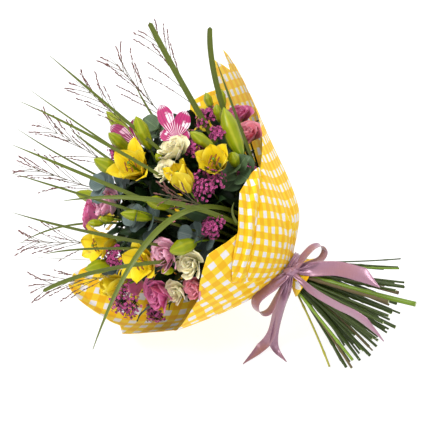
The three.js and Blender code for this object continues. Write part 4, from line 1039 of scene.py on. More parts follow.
@dataclass
class Blooms:
    """Every head that stands on a stalk, each one built about its own seat."""

    place: Arrangement
    finishes: dict[str, bpy.types.Material]
    pinks: tuple[str, ...] = (
        "rose", "pink", "pale pink", "pink", "rose", "pale pink", "pink", "pink", "rose", "pale pink",
    )
    lily_opening: float = 0.8
    panicle_share: float = 0.93
    panicle_twigs: int = 14

    def frame(self, head: Head) -> Matrix:
        """The frame that the head stands in."""
        return frame_at(self.place.point(head.seat), direction(*head.face), head.spin)

    def build(self, maker: MeshMaker, head: Head, *names: str) -> bpy.types.Object:
        """Makes a head's object with the finishes of those names."""
        return maker.build(head.name, [self.finishes[name] for name in names])

    @staticmethod
    def petals(
        maker: MeshMaker, frame: Matrix, shape: PetalShape, turns: Sequence[float], chance: random.Random,
        finish: int = 0,
    ) -> None:
        """Adds a ring of petals.

        Args:
            maker: What gathers the mesh.
            frame: The head's frame.
            shape: The petals' shape.
            turns: Degrees round the head of each petal.
            chance: Where the small differences come from.
            finish: The material's number.
        """
        for turn in turns:
            tilt = Matrix.Rotation(math.radians(chance.uniform(-4, 4)), 4, "Y")
            spun = frame @ Matrix.Rotation(math.radians(turn + chance.uniform(-4, 4)), 4, "Z") @ tilt
            maker.grid(apply(spun, shape.points(chance)), chance.uniform(0.3, 0.8), finish)

    def lily(self, head: Head, chance: random.Random) -> bpy.types.Object:
        """A lily with six tepals, six stamens and a pistil."""
        maker, frame = MeshMaker(), self.frame(head)
        spread = head.open * self.lily_opening
        outer = PetalShape(
            length=head.size, width=0.031 + 0.003 * spread, lean=16 + 16 * spread, curl=52 * spread - 8,
            outline=pointed, foot=0.0045, cup=0.0045, ruffle=0.0012, waves=2.5, groove=0.0016,
            flick=26 * spread, rows=17,
        )
        inner = PetalShape(
            length=head.size * 0.96, width=0.038 + 0.005 * spread, lean=9 + 17 * spread, curl=52 * spread - 8,
            outline=pointed, foot=0.0035, cup=0.007, ruffle=0.002, waves=2.2, groove=0.0018,
            flick=22 * spread, columns=11, rows=17,
        )
        self.petals(maker, frame, outer, (0, 120, 240), chance)
        self.petals(maker, frame, inner, (60, 180, 300), chance)
        lean = 0.1 + 0.28 * spread
        for k in range(6):
            angle = math.radians(60 * k + 30)
            out = Vector((math.cos(angle) * lean, math.sin(angle) * lean, 1)).normalized()
            line = bezier((Vector(), UP * 0.03, out * head.size * 0.66), 7)
            maker.tube(apply(frame, line), [0.0007] * 7, 5, 0.6, 1)
            across = out.cross(UP if abs(out.z) < 0.95 else Vector((1, 0, 0))).normalized()
            bar = listed(Vector(line[-1]) + across * x for x in (-0.005, -0.003, 0.0, 0.003, 0.005))
            maker.tube(apply(frame, bar), [0.0006, 0.0013, 0.0015, 0.0013, 0.0006], 6, 0.5, 2)
        pistil = np.array([(0, 0, z) for z in (0, 0.03, head.size * 0.74, head.size * 0.76)])
        maker.tube(apply(frame, pistil), [0.0022, 0.0012, 0.001, 0.0028], 8, 0.5, 1)
        return self.build(maker, head, "lily", "bright stem", "anther")

    def lisianthus(self, head: Head, chance: random.Random) -> bpy.types.Object:
        """A lisianthus: rings of broad ruffled petals that lap like a pinwheel."""
        maker, frame = MeshMaker(), self.frame(head)
        size, spread = head.size, head.open
        # Each ring from the outside: its petals, their length and width in head sizes, lean, curl and rise.
        rings = (
            (5, 0.9, 0.8 + 0.1 * spread, 46 + 14 * spread, -44 + 40 * spread, 0.0),
            (5, 0.84, 0.74, 34 + 10 * spread, -34 + 24 * spread, 0.03),
            (4, 0.76, 0.62, 24 + 6 * spread, -22 + 12 * spread, 0.06),
            (3, 0.7, 0.44, 14, -10, 0.09),
            (3, 0.66, 0.3, 7, -4, 0.1),
        )
        for ring, (count, length, width, lean, curl, rise) in enumerate(rings):
            shape = PetalShape(
                length=size * length, width=size * width, lean=lean, curl=curl, outline=rounded,
                foot=0.005 - 0.0008 * ring, rise=rise * size, cup=0.0026, twist=20,
                ruffle=0.0016 + 0.0006 * spread, waves=1.4, flick=26 if ring < 2 else 12, rows=11,
            )
            self.petals(maker, frame, shape, [360 / count * k + 31 * ring for k in range(count)], chance)
        sepal = PetalShape(
            length=size * 0.55, width=size * 0.12, lean=62, curl=-40, outline=long_leaf, rise=-0.001,
            cup=0.0005, flick=40, columns=5, rows=8,
        )
        self.petals(maker, frame, sepal, (10, 82, 154, 226, 298), chance, 1)
        cream = head.name.startswith("cream")
        hue = "cream" if cream else self.pinks[int(head.name.rsplit("_", 1)[1]) - 1]
        return self.build(maker, head, hue, "green leaf")

    def sea_lavender(self, head: Head, chance: random.Random) -> bpy.types.Object:
        """Sprays of small five-lobed florets with dark throats, on thin branches."""
        maker, frame = MeshMaker(), self.frame(head)
        radius = head.size
        lobe = PetalShape(
            length=0.0027, width=0.0024, lean=58, curl=26, outline=rounded, foot=0.0004, rise=0.0012,
            cup=0.0003, columns=3, rows=4,
        )
        sprays = [(UP * radius, 0.5 * radius)]
        for k in range(9):
            out = golden(k, 9, 1.15, 0.3, chance) * radius * chance.uniform(0.6, 0.95)
            sprays.append((out + UP * (0.6 * radius), 0.46 * radius))
        for centre, size in sprays:
            count = int(8 + size * 1150)
            for i in range(count):
                out = golden(i, count, 1.3, 0.4, chance)
                foot, mouth = centre + out * size * 0.1, centre + out * size * chance.uniform(0.6, 1.08)
                self.floret(maker, frame, lobe, foot, mouth, out, chance)
        return self.build(maker, head, "lavender", "dark leaf")

    @staticmethod
    def floret(
        maker: MeshMaker, frame: Matrix, lobe: PetalShape, foot: Vector, mouth: Vector, out: Vector,
        chance: random.Random,
    ) -> None:
        """Adds a floret on its branch.

        Args:
            maker: What gathers the mesh.
            frame: The head's frame.
            lobe: The shape of a lobe.
            foot: Where the branch starts.
            mouth: Where the floret opens.
            out: The way from the spray's middle.
            chance: Where the small differences come from.
        """
        line = bezier((foot, foot.lerp(mouth, 0.6) + UP * 0.002, mouth), 4)
        maker.tube(apply(frame, line), [0.0006, 0.0005, 0.0004, 0.0008], 4, 0.4, 1)
        sway = out + Vector([chance.uniform(-0.45, 0.45) for _ in range(3)])
        small = frame @ frame_at(mouth, sway.normalized(), chance.uniform(0, 72))
        tone = chance.uniform(0.1, 1.0)
        for k in range(5):
            spun = small @ Matrix.Rotation(math.radians(72 * k), 4, "Z")
            maker.grid(apply(spun, lobe.points(chance)), tone, 0)

    def eucalyptus(self, head: Head, chance: random.Random) -> bpy.types.Object:
        """A sprig with pairs of round leaves."""
        maker, frame = MeshMaker(), self.frame(head)
        length = head.size
        rib = np.array([(0, 0, 0), (0.001, 0, length * 0.5), (0, 0, length)])
        maker.tube(apply(frame, rib), [0.0014, 0.0012, 0.0007], 6, 0.4, 1)
        for pair in range(4):
            height = length * (0.25 + 0.25 * pair)
            breadth = 0.041 - 0.0035 * pair
            for side in (0, 180):
                shape = PetalShape(
                    length=breadth * chance.uniform(0.88, 1.08), width=breadth * 0.98, lean=62 - 8 * pair,
                    curl=16, outline=round_leaf, foot=0.0008, rise=height, ruffle=0.0008, waves=1.5,
                    groove=0.0006, columns=11, rows=12,
                )
                turn = 60 + 90 * (pair % 2) + side + chance.uniform(-14, 14)
                self.petals(maker, frame, shape, (turn,), chance)
        hue = "green leaf" if head.name in ("eucalyptus_3", "eucalyptus_4") else "eucalyptus"
        return self.build(maker, head, hue, "brown stem")

    def panicle(self, head: Head, chance: random.Random) -> bpy.types.Object:
        """An airy switch grass panicle: hair-thin twigs with slender spikelets towards their ends."""
        maker, frame = MeshMaker(), self.frame(head)
        length = head.size * self.panicle_share
        rib = bezier((Vector(), UP * (length * 0.5), Vector((0, length * 0.05, length))), 12)
        maker.tube(apply(frame, rib), np.linspace(0.0009, 0.0004, 12), 4, 0.5, 1)
        for k in range(self.panicle_twigs):
            share = (k + 1) / (self.panicle_twigs + 2)
            foot = Vector(rib[int(share * 11)])
            angle = k * 2.4 + chance.uniform(-0.3, 0.3)
            reach = length * (0.36 - 0.18 * share) * chance.uniform(0.45, 1)
            rise = length * (0.5 - 0.2 * share)
            end = foot + Vector((reach * math.cos(angle), reach * math.sin(angle), rise))
            end.z = min(end.z, length)
            bow = foot.lerp(end, 0.5) + UP * (0.16 * reach)
            line = bezier((foot, bow, end), 15)
            maker.tube(apply(frame, line), np.linspace(0.0007, 0.00045, 15), 3, 0.5, 1)
            for j in range(6 + k % 3, 15):
                if chance.random() < 0.2:
                    continue
                self.spikelet(maker, frame, Vector(line[j]), Vector(line[j] - line[j - 1]), chance)
        return self.build(maker, head, "panicle", "straw")

    @staticmethod
    def spikelet(maker: MeshMaker, frame: Matrix, at: Vector, along: Vector, chance: random.Random) -> None:
        """Adds a spikelet and its hair-thin stalk beside a twig.

        Args:
            maker: What gathers the mesh.
            frame: The head's frame.
            at: Where the stalk leaves the twig.
            along: The twig's direction there.
            chance: Where the small differences come from.
        """
        sway = (along.normalized() + Vector([chance.uniform(-0.22, 0.22) for _ in range(3)])).normalized()
        foot = at + sway * chance.uniform(0.0005, 0.0015)
        maker.tube(apply(frame, listed((at, foot))), [0.0003, 0.0003], 3, 0.5, 1)
        full = chance.uniform(0.0045, 0.0065)
        body = listed(foot + sway * x * full for x in (0.0, 0.3, 0.65, 1.0))
        maker.tube(apply(frame, body), [0.0004, 0.0012, 0.001, 0.0002], 5, chance.uniform(0.1, 0.8), 0)

    def butterfly(self, head: Head, chance: random.Random) -> bpy.types.Object:
        """A butterfly pick: two pairs of printed wings, a body and two feelers on a wire."""
        maker, frame = MeshMaker(), self.frame(head)
        # Each wing's turn, length and width in spans, lean and rise, with the long wings first.
        wings = (
            (27, 0.65, 0.29, 76, 0.0026), (-29, 0.53, 0.31, 66, 0.003),
            (62, 0.3, 0.22, 80, 0.002), (-62, 0.28, 0.22, 70, 0.0024),
        )
        for turn, length, width, lean, rise in wings:
            shape = PetalShape(
                length=head.size * length, width=head.size * width, lean=lean, curl=-5, outline=wing_outline,
                foot=0.0008, rise=rise, cup=0.0012, ruffle=0.0004, waves=1.3, flick=8, columns=15, rows=15,
            )
            self.petals(maker, frame, shape, (turn,), chance)
        body = np.array([(x, 0, 0.0024) for x in (-0.012, -0.008, -0.002, 0.004, 0.009, 0.012)])
        maker.tube(apply(frame, body), [0.0009, 0.0017, 0.0021, 0.0019, 0.0021, 0.0008], 8, 0.2, 1)
        for side in (-1, 1):
            feeler = ((0.011, 0, 0.003), (0.02, side * 0.003, 0.006), (0.025, side * 0.009, 0.008))
            maker.tube(apply(frame, bezier([Vector(p) for p in feeler], 6)), [0.0003] * 6, 4, 0.2, 1)
        return self.build(maker, head, "bright wing" if head.name.endswith("1") else "deep wing", "anther")

    def make(self, head: Head) -> bpy.types.Object:
        """Builds a head of any kind."""
        makers = {
            Kind.LILY: self.lily, Kind.LISIANTHUS: self.lisianthus, Kind.SEALAVENDER: self.sea_lavender,
            Kind.EUCALYPTUS: self.eucalyptus, Kind.PANICLE: self.panicle, Kind.BUTTERFLY: self.butterfly,
        }
        return makers[head.kind](head, random.Random(head.name))


@dataclass
class Wrap:
    """The gingham sheet rolled round the heads and gathered at the tie, low in front and high behind.

    The profile gives the height along the axis, the radius, and the radius on the straighter side. The rim
    gives degrees round the axis and the height there, and its last part is the flap that lies over the first.
    The fold gives the heights and turns of the flap's crease. The gathers give degrees round the axis and the
    degrees of cloth for each of them there.
    """

    place: Arrangement
    profile: tuple[tuple[float, float, float], ...] = (
        (-0.034, 0.038, 0.038), (-0.016, 0.024, 0.024), (-0.008, 0.0205, 0.0205), (0, 0.0205, 0.0205),
        (0.008, 0.022, 0.024), (0.022, 0.056, 0.062), (0.038, 0.088, 0.091), (0.07, 0.132, 0.118),
        (0.115, 0.186, 0.149), (0.15, 0.215, 0.174), (0.2, 0.248, 0.212), (0.255, 0.268, 0.248),
        (0.32, 0.272, 0.282), (0.352, 0.269, 0.296),
    )
    straight_turn: float = 313
    rim: tuple[tuple[float, float], ...] = (
        (14, 0.104), (40, 0.108), (47, 0.116), (56, 0.132), (70, 0.122), (84, 0.11), (104, 0.112),
        (120, 0.116), (126, 0.122), (131, 0.196), (146, 0.212), (153, 0.246), (157, 0.3), (163, 0.338),
        (171, 0.345), (179, 0.328), (188, 0.286), (205, 0.298), (223, 0.305), (245, 0.282), (262, 0.32),
        (278, 0.28), (293, 0.31), (303, 0.268), (312, 0.294), (317, 0.27), (320, 0.222), (323, 0.194),
        (333, 0.158), (343, 0.142), (356, 0.13), (370, 0.138), (382, 0.138), (398, 0.11), (412, 0.096),
        (424, 0.082), (430, 0.076),
    )
    fold: tuple[tuple[float, float], ...] = ((0.03, 446), (0.055, 431), (0.086, 392), (0.13, 356))
    pleat: float = 0.005
    columns: int = 520
    rows: int = 120
    thread_turn: float = 326
    gathers: tuple[tuple[float, float], ...] = (
        (14, 0.74), (100, 0.72), (128, 0.5), (290, 0.46), (325, 0.9), (430, 0.95),
    )
    front_density: float = 1.4
    thread_reach: float = 0.03
    slack: float = 0.012
    thickness: float = 0.0006
    flat: tuple[float, float] = (1.0, 0.42)

    def straightness(self, turn: float) -> float:
        """How far the sheet follows its straighter profile at a turn."""
        return (0.5 + 0.5 * math.cos(math.radians(turn - self.straight_turn))) ** 1.5

    def outside(self, place: Vector, turn: float) -> bool:
        """Whether a place, measured from the tie, is past the wrap or too near to it."""
        along = place.dot(AXIS)
        across = (place - AXIS * along).length
        heights = [p[0] for p in self.profile]
        near, far = (np.interp(along, heights, [p[k] for p in self.profile]) for k in (1, 2))
        share = self.straightness(turn)
        return across > near * (1 - share) + far * share - self.slack

    def meridian(self, turn: float) -> np.ndarray:
        """The line from the skirt to the highest rim at a turn: heights and radii at even steps."""
        share = self.straightness(turn)
        given = [Vector((0, along, near * (1 - share) + far * share)) for along, near, far in self.profile]
        return smooth_path(given, 300)[:, 1:]

    def make(self, cloth: bpy.types.Material) -> bpy.types.Object:
        """Builds the sheet.

        Args:
            cloth: Its material.

        Returns:
            The piece, with its thickness.
        """
        turns = np.linspace(self.rim[0][0], self.rim[-1][0], self.columns)
        heights = np.interp(turns, [t for t, _ in self.rim], [h for _, h in self.rim])
        shares = (turns - turns[0]) / (turns[-1] - turns[0])
        length = np.zeros((self.columns, self.rows))
        along, radius = np.zeros_like(length), np.zeros_like(length)
        spread = np.linspace(0, 1, self.rows) ** 0.92
        for i, turn in enumerate(turns):
            line = self.meridian(float(turn))
            arc = np.concatenate([[0], np.cumsum(np.linalg.norm(np.diff(line, axis=0), axis=1))])
            length[i] = np.interp(heights[i], line[:, 0], arc) * spread
            along[i] = np.interp(length[i], arc, line[:, 0])
            radius[i] = np.interp(length[i], arc, line[:, 1])
        radius = radius + self.folds(turns, shares, along)
        points = round_axis(self.place.binding, turns, radius, along)
        points[:, :, 2] = np.maximum(points[:, :, 2], self.place.table + self.thickness)
        maker = MeshMaker()
        self.sheet(maker, points, turns, length)
        wrap = maker.build("gingham_wrap", [cloth])
        thicken(wrap, self.thickness)
        return wrap

    def folds(self, turns: np.ndarray, shares: np.ndarray, along: np.ndarray) -> np.ndarray:
        """What the layers, pleats, gathers and the flap's deep fold add to the radius.

        Args:
            turns: Degrees round the axis of each column.
            shares: How far each column is from the sheet's inner end to its outer end.
            along: The height along the axis of each point, columns by rows.

        Returns:
            An array like along.
        """
        theta = np.radians(turns)[:, None]
        rise = np.clip((along - 0.01) / 0.11, 0, 1)
        rise = rise * rise * (3 - 2 * rise)
        layer = (0.0024 + 0.0026 * np.clip((along - 0.012) / 0.048, 0, 1)) * shares[:, None]
        broad = self.pleat * np.sin(7 * theta) * rise
        near = np.exp(-(((along - 0.03) / 0.035) ** 2)) * np.clip(np.abs(along) / 0.02, 0, 1)
        fine = 0.0021 * np.sin(theta * 23 + 2.2 * np.sin(theta * 5)) + 0.0014 * np.sin(theta * 41 + 1.0)
        crease = 0.0022 * np.sin(theta * 17 + 26 * along + 1.5 * np.sin(theta * 3))
        crease = crease * np.clip(along / 0.06, 0, 1) * (1 - 0.6 * rise)
        off = turns[:, None] - np.interp(along, [a for a, _ in self.fold], [t for _, t in self.fold])
        held = np.clip((along - 0.03) / 0.02, 0, 1) * np.clip((0.2 - along) / 0.05, 0, 1)
        flap = -0.006 * np.exp(-((off / 3.2) ** 2)) + 0.0045 * np.exp(-(((off - 8) / 5) ** 2))
        flap = flap - 0.003 * np.exp(-(((off - 17) / 3) ** 2))
        return layer + broad + fine * near + crease + flap * held

    @staticmethod
    def area(points: np.ndarray) -> float:
        """The area of a grid of points."""
        a = points[1:, :-1] - points[:-1, :-1]
        b = points[:-1, 1:] - points[:-1, :-1]
        return float(np.linalg.norm(np.cross(a, b), axis=2).sum())

    def sheet(self, maker: MeshMaker, points: np.ndarray, turns: np.ndarray, length: np.ndarray) -> None:
        """Adds the grid with the coordinates that it has when the sheet is unrolled flat, in metres.

        Args:
            maker: What gathers the mesh.
            points: The sheet's grid.
            turns: Degrees round the axis of each column.
            length: How far each point is from the skirt's hem along the sheet.
        """
        maker.grid(points)
        columns, rows = points.shape[:2]
        rates = np.interp(turns, [t for t, _ in self.gathers], [r for _, r in self.gathers])
        angle = np.radians(np.concatenate([[0], np.cumsum((rates[1:] + rates[:-1]) / 2 * np.diff(turns))]))
        angle = (angle - np.interp(self.thread_turn, turns, angle))[:, None]
        reach = length + self.thread_reach
        aside = reach * np.sin(angle)
        aside = np.where(aside > 0, self.front_density * aside, aside)
        flat = np.stack([reach * np.cos(angle), aside], axis=2)
        corners = maker.corners[-1].reshape(columns - 1, rows - 1, 4, 2)
        for corner, (i, j) in enumerate(((0, 0), (1, 0), (1, 1), (0, 1))):
            corners[:, :, corner] = flat[i : columns - 1 + i, j : rows - 1 + j]


@dataclass
class Greenery:
    """The stems, buds, grass blades and leaves that grow together at the tie."""

    place: Arrangement
    finishes: dict[str, bpy.types.Material]
    wrap: Wrap
    arch: float = 1.04
    blade_share: float = 0.82
    spare_stems: int = 18
    leaf_tries: int = 900
    names: tuple[str, ...] = (
        "stem", "bright stem", "brown stem", "yellow stem", "pith", "lily bud", "grass", "dark leaf",
    )

    def bud(self, maker: MeshMaker, bud: Bud, chance: random.Random) -> None:
        """Adds a bud with six tepals closed to a spindle, slightly bent."""
        facing = direction(*bud.face)
        frame = frame_at(self.place.point(bud.seat) - facing * 0.002, facing)
        rows, columns = 20, 24
        t = np.linspace(0, 1, rows)
        shares = [0.1, 0.22, 0.42, 0.5, 0.3, 0.1, 0.02]
        wide = np.interp(t, [0, 0.04, 0.25, 0.62, 0.85, 0.96, 1], shares) * bud.width
        angle = np.linspace(0, 2 * math.pi, columns, endpoint=False)
        ridge = 1 + 0.09 * np.cos(3 * angle)[:, None] * np.sin(math.pi * t)[None] ** 0.5
        seam = 1 - 0.05 * np.exp(-(((angle * 3 / math.pi) % 1 - 0.5) / 0.07)[:, None] ** 2)
        reach = wide[None] * ridge * seam
        bend = 0.03 * bud.length * np.sin(math.pi * t)[None]
        x, y = reach * np.cos(angle)[:, None] + bend, reach * np.sin(angle)[:, None]
        points = np.stack([x, y, np.broadcast_to(t * bud.length, reach.shape)], axis=2)
        maker.grid(apply(frame, points), chance.uniform(0.35, 0.75), 5, closed=True)

    def blade(self, maker: MeshMaker, blade: Blade, chance: random.Random) -> None:
        """Adds a folded grass blade that tapers to its tip, or ends in a slanted cut."""
        binding = self.place.binding
        start = binding + slot_of(blade.by[0], blade.by[1])
        way, end = self.place.point(blade.by), self.place.point(blade.tip)
        rows, columns = 34, 7
        if blade.bend:
            path = bezier((start, way, self.place.point(blade.bend), end), rows)
        else:
            path = bezier((start, binding + (way - binding) * self.arch, end), rows)
        tangents, _, _ = path_frames(path)
        outward = np.array(tuple(direction(RIGHT_ANGLE, blade.by[1] + blade.twist)))
        t = np.linspace(0, 1, rows)
        if blade.cut:
            share = np.interp(t, [0, 0.25, 0.5, 0.9, 1], [0.3, 0.7, 1, 0.95, 0.8])
        else:
            share = np.interp(t, [0, 0.3, 0.6, 0.85, 1], [0.3, 0.8, 1, 0.62, 0.1])
        across = np.cross(tangents, outward[None])
        across /= np.linalg.norm(across, axis=1, keepdims=True)
        facing = np.cross(across, tangents)
        s = np.linspace(-1, 1, columns)
        half = share * blade.width * self.blade_share / 2
        fold = 0.24 * np.abs(s)[:, None] * half[None]
        breadth = s[:, None, None] * half[None, :, None] * across[None]
        points = path[None] + breadth + fold[:, :, None] * facing[None]
        if blade.cut:
            slant = s[:, None] * half[None] * 0.9 * (t[None] > 0.97)
            points = points - np.abs(slant)[:, :, None] * tangents[None]
        maker.grid(points, chance.uniform(0.3, 0.75), 6)

    def make(self, heads: Sequence[Head], buds: Sequence[Bud], blades: Sequence[Blade]) -> bpy.types.Object:
        """Builds the stems with all that grows on them.

        Args:
            heads: The heads, for their stalks.
            buds: The buds.
            blades: The grass blades.

        Returns:
            The piece.
        """
        maker, chance = MeshMaker(), random.Random(7)
        paths: dict[str, np.ndarray] = {}
        number = 0
        for head in heads:
            paths[head.name] = self.place.stem_path(head.seat, head.face, paths.get(head.parent))
            finish = {Kind.LILY: 1, Kind.EUCALYPTUS: 2}.get(head.kind, 0)
            branch = bool(head.parent)
            number = self.stem(maker, paths[head.name], head.seat, head.stem, branch, finish, number, chance)
        for bud in buds:
            path = self.place.stem_path(bud.seat, bud.face, paths.get(bud.parent))
            number = self.stem(maker, path, bud.seat, 0.0018, bool(bud.parent), 1, number, chance)
            self.bud(maker, bud, chance)
        for blade in blades:
            self.blade(maker, blade, chance)
            number = self.lower(maker, blade.by[0], blade.by[1], 0.002, number, chance)
        for i in range(self.spare_stems):
            number = self.lower(maker, 18 + (i * 13) % 30, 178 + 9.5 * i, 0.0022, number, chance)
        for stem in CUT_STEMS:
            start = self.place.binding + slot_of(stem.spread, stem.turn)
            end = start - direction(stem.spread, stem.turn) * stem.length
            end.z = max(end.z, self.place.table + 2 * stem.radius)
            self.cut_stem(maker, start, end, stem.radius, stem.finish, chance)
        crown = listed(self.place.point(head.seat) - self.place.binding for head in heads)
        for i in range(self.leaf_tries):
            self.leaf(maker, i, crown, chance)
        return maker.build("stems_and_leaves", [self.finishes[name] for name in self.names])

    def stem(
        self, maker: MeshMaker, path: np.ndarray, seat: Polar, radius: float, branch: bool, finish: int,
        number: int, chance: random.Random,
    ) -> int:
        """Adds a stem up to its head, and its lower half unless it is a branch.

        Args:
            maker: What gathers the mesh.
            path: The stem's line above the tie.
            seat: The head's place.
            radius: The stem's radius.
            branch: Whether it leaves another stem.
            finish: The material's number.
            number: How many stems have a lower half so far.
            chance: Where the small differences come from.

        Returns:
            The new number of stems with a lower half.
        """
        maker.tube(path, np.linspace(radius, radius * 0.84, len(path)), 8, chance.uniform(0.2, 0.8), finish)
        if branch or radius < 0.0011:
            return number
        return self.lower(maker, seat[0], seat[1], radius * 1.25, number, chance)

    def lower(
        self, maker: MeshMaker, lean: float, turn: float, radius: float, number: int, chance: random.Random
    ) -> int:
        """Adds the half of a stem below the tie.

        Args:
            maker: What gathers the mesh.
            lean: The lean of its upper half.
            turn: The turn of its upper half.
            radius: Its radius, before it is varied.
            number: How many stems have a lower half so far.
            chance: Where the small differences come from.

        Returns:
            The new number of stems with a lower half.
        """
        start, end = self.place.binding + slot_of(lean, turn), self.place.cut_end(lean, turn, number)
        finish = 2 if number % 9 == 4 else int(number % 8 == 2)
        self.cut_stem(maker, start, end, radius * (0.8, 1.0, 1.3, 0.9, 1.15)[number % 5], finish, chance)
        return number + 1

    @staticmethod
    def cut_stem(
        maker: MeshMaker, start: Vector, end: Vector, radius: float, finish: int, chance: random.Random
    ) -> None:
        """Adds a stem from the tie to its pale cut end, with the nodes where its leaves were stripped.

        Args:
            maker: What gathers the mesh.
            start: Where it passes the tie.
            end: Its cut end.
            radius: Its radius.
            finish: The material's number.
            chance: Where the small differences come from.
        """
        bow = start.lerp(end, 0.5) + Vector([chance.uniform(-0.003, 0.003) for _ in range(3)])
        rows = 30
        line = bezier((start + AXIS * 0.02, bow, end), rows)
        radii = np.full(rows, radius)
        for node in (chance.randrange(10, 15), chance.randrange(18, 26)):
            radii[node] *= 1.3
        maker.tube(line, radii, 9, chance.uniform(0.05, 0.8), finish)
        cap = np.array([line[-1], line[-1] + (line[-1] - line[-2]) * 0.03])
        maker.tube(cap, [radius * 0.86, radius * 0.8], 9, 0.5, 4)

    def leaf(self, maker: MeshMaker, number: int, crown: np.ndarray, chance: random.Random) -> None:
        """Adds a near-black leaf, partly filler greenery and partly painted shade among the heads, unless it
        would pass through the wrap or stand out past the heads.

        Args:
            maker: What gathers the mesh.
            number: The leaf's number.
            crown: The heads' places from the tie.
            chance: Where its place comes from.
        """
        lean = 4 + 44 * math.sqrt(chance.random())
        turn = chance.uniform(-60, 140) if number % 3 else chance.uniform(140, 300)
        reach = chance.uniform(0.13, 0.3) if number % 2 else chance.uniform(0.22, 0.34)
        if number % 5 == 0:
            lean, turn, reach = chance.uniform(14, 36), chance.uniform(10, 80), chance.uniform(0.24, 0.31)
        if number % 5 == 1:
            lean, turn, reach = chance.uniform(20, 34), chance.uniform(-35, 80), chance.uniform(0.1, 0.2)
        if number % 10 == 2:
            lean, turn, reach = chance.uniform(48, 56), chance.uniform(-46, -30), chance.uniform(0.26, 0.32)
        facing = direction(lean + chance.uniform(-12, 16), turn + chance.uniform(-25, 25))
        length = chance.uniform(0.042, 0.066)
        foot = direction(lean, turn) * reach
        margin = direction(RIGHT_ANGLE, turn) * 0.015
        if any(self.wrap.outside(foot + facing * length * share + margin, turn) for share in (0, 0.5, 1)):
            return
        tip = np.array(tuple(foot + facing * length))
        far = np.linalg.norm(tip)
        ahead = crown @ tip / far
        aside = np.linalg.norm(crown - ahead[:, None] * (tip / far)[None], axis=1)
        # Only leaves that lie under a head are kept, so their near-black colour fills the gaps between the
        # heads as painted shade.
        if not np.any((aside < 0.05) & (ahead > far - 0.012)):
            return
        shape = PetalShape(
            length=length, width=chance.uniform(0.016, 0.03), lean=chance.uniform(4, 30), curl=35,
            outline=long_leaf, foot=0, cup=0.002, ruffle=0.001, waves=2, groove=0.0008, flick=20, columns=7,
            rows=12,
        )
        frame = frame_at(self.place.binding + foot, facing, chance.uniform(0, 360))
        maker.grid(apply(frame, shape.points(chance)), chance.uniform(0.15, 0.95), 7)


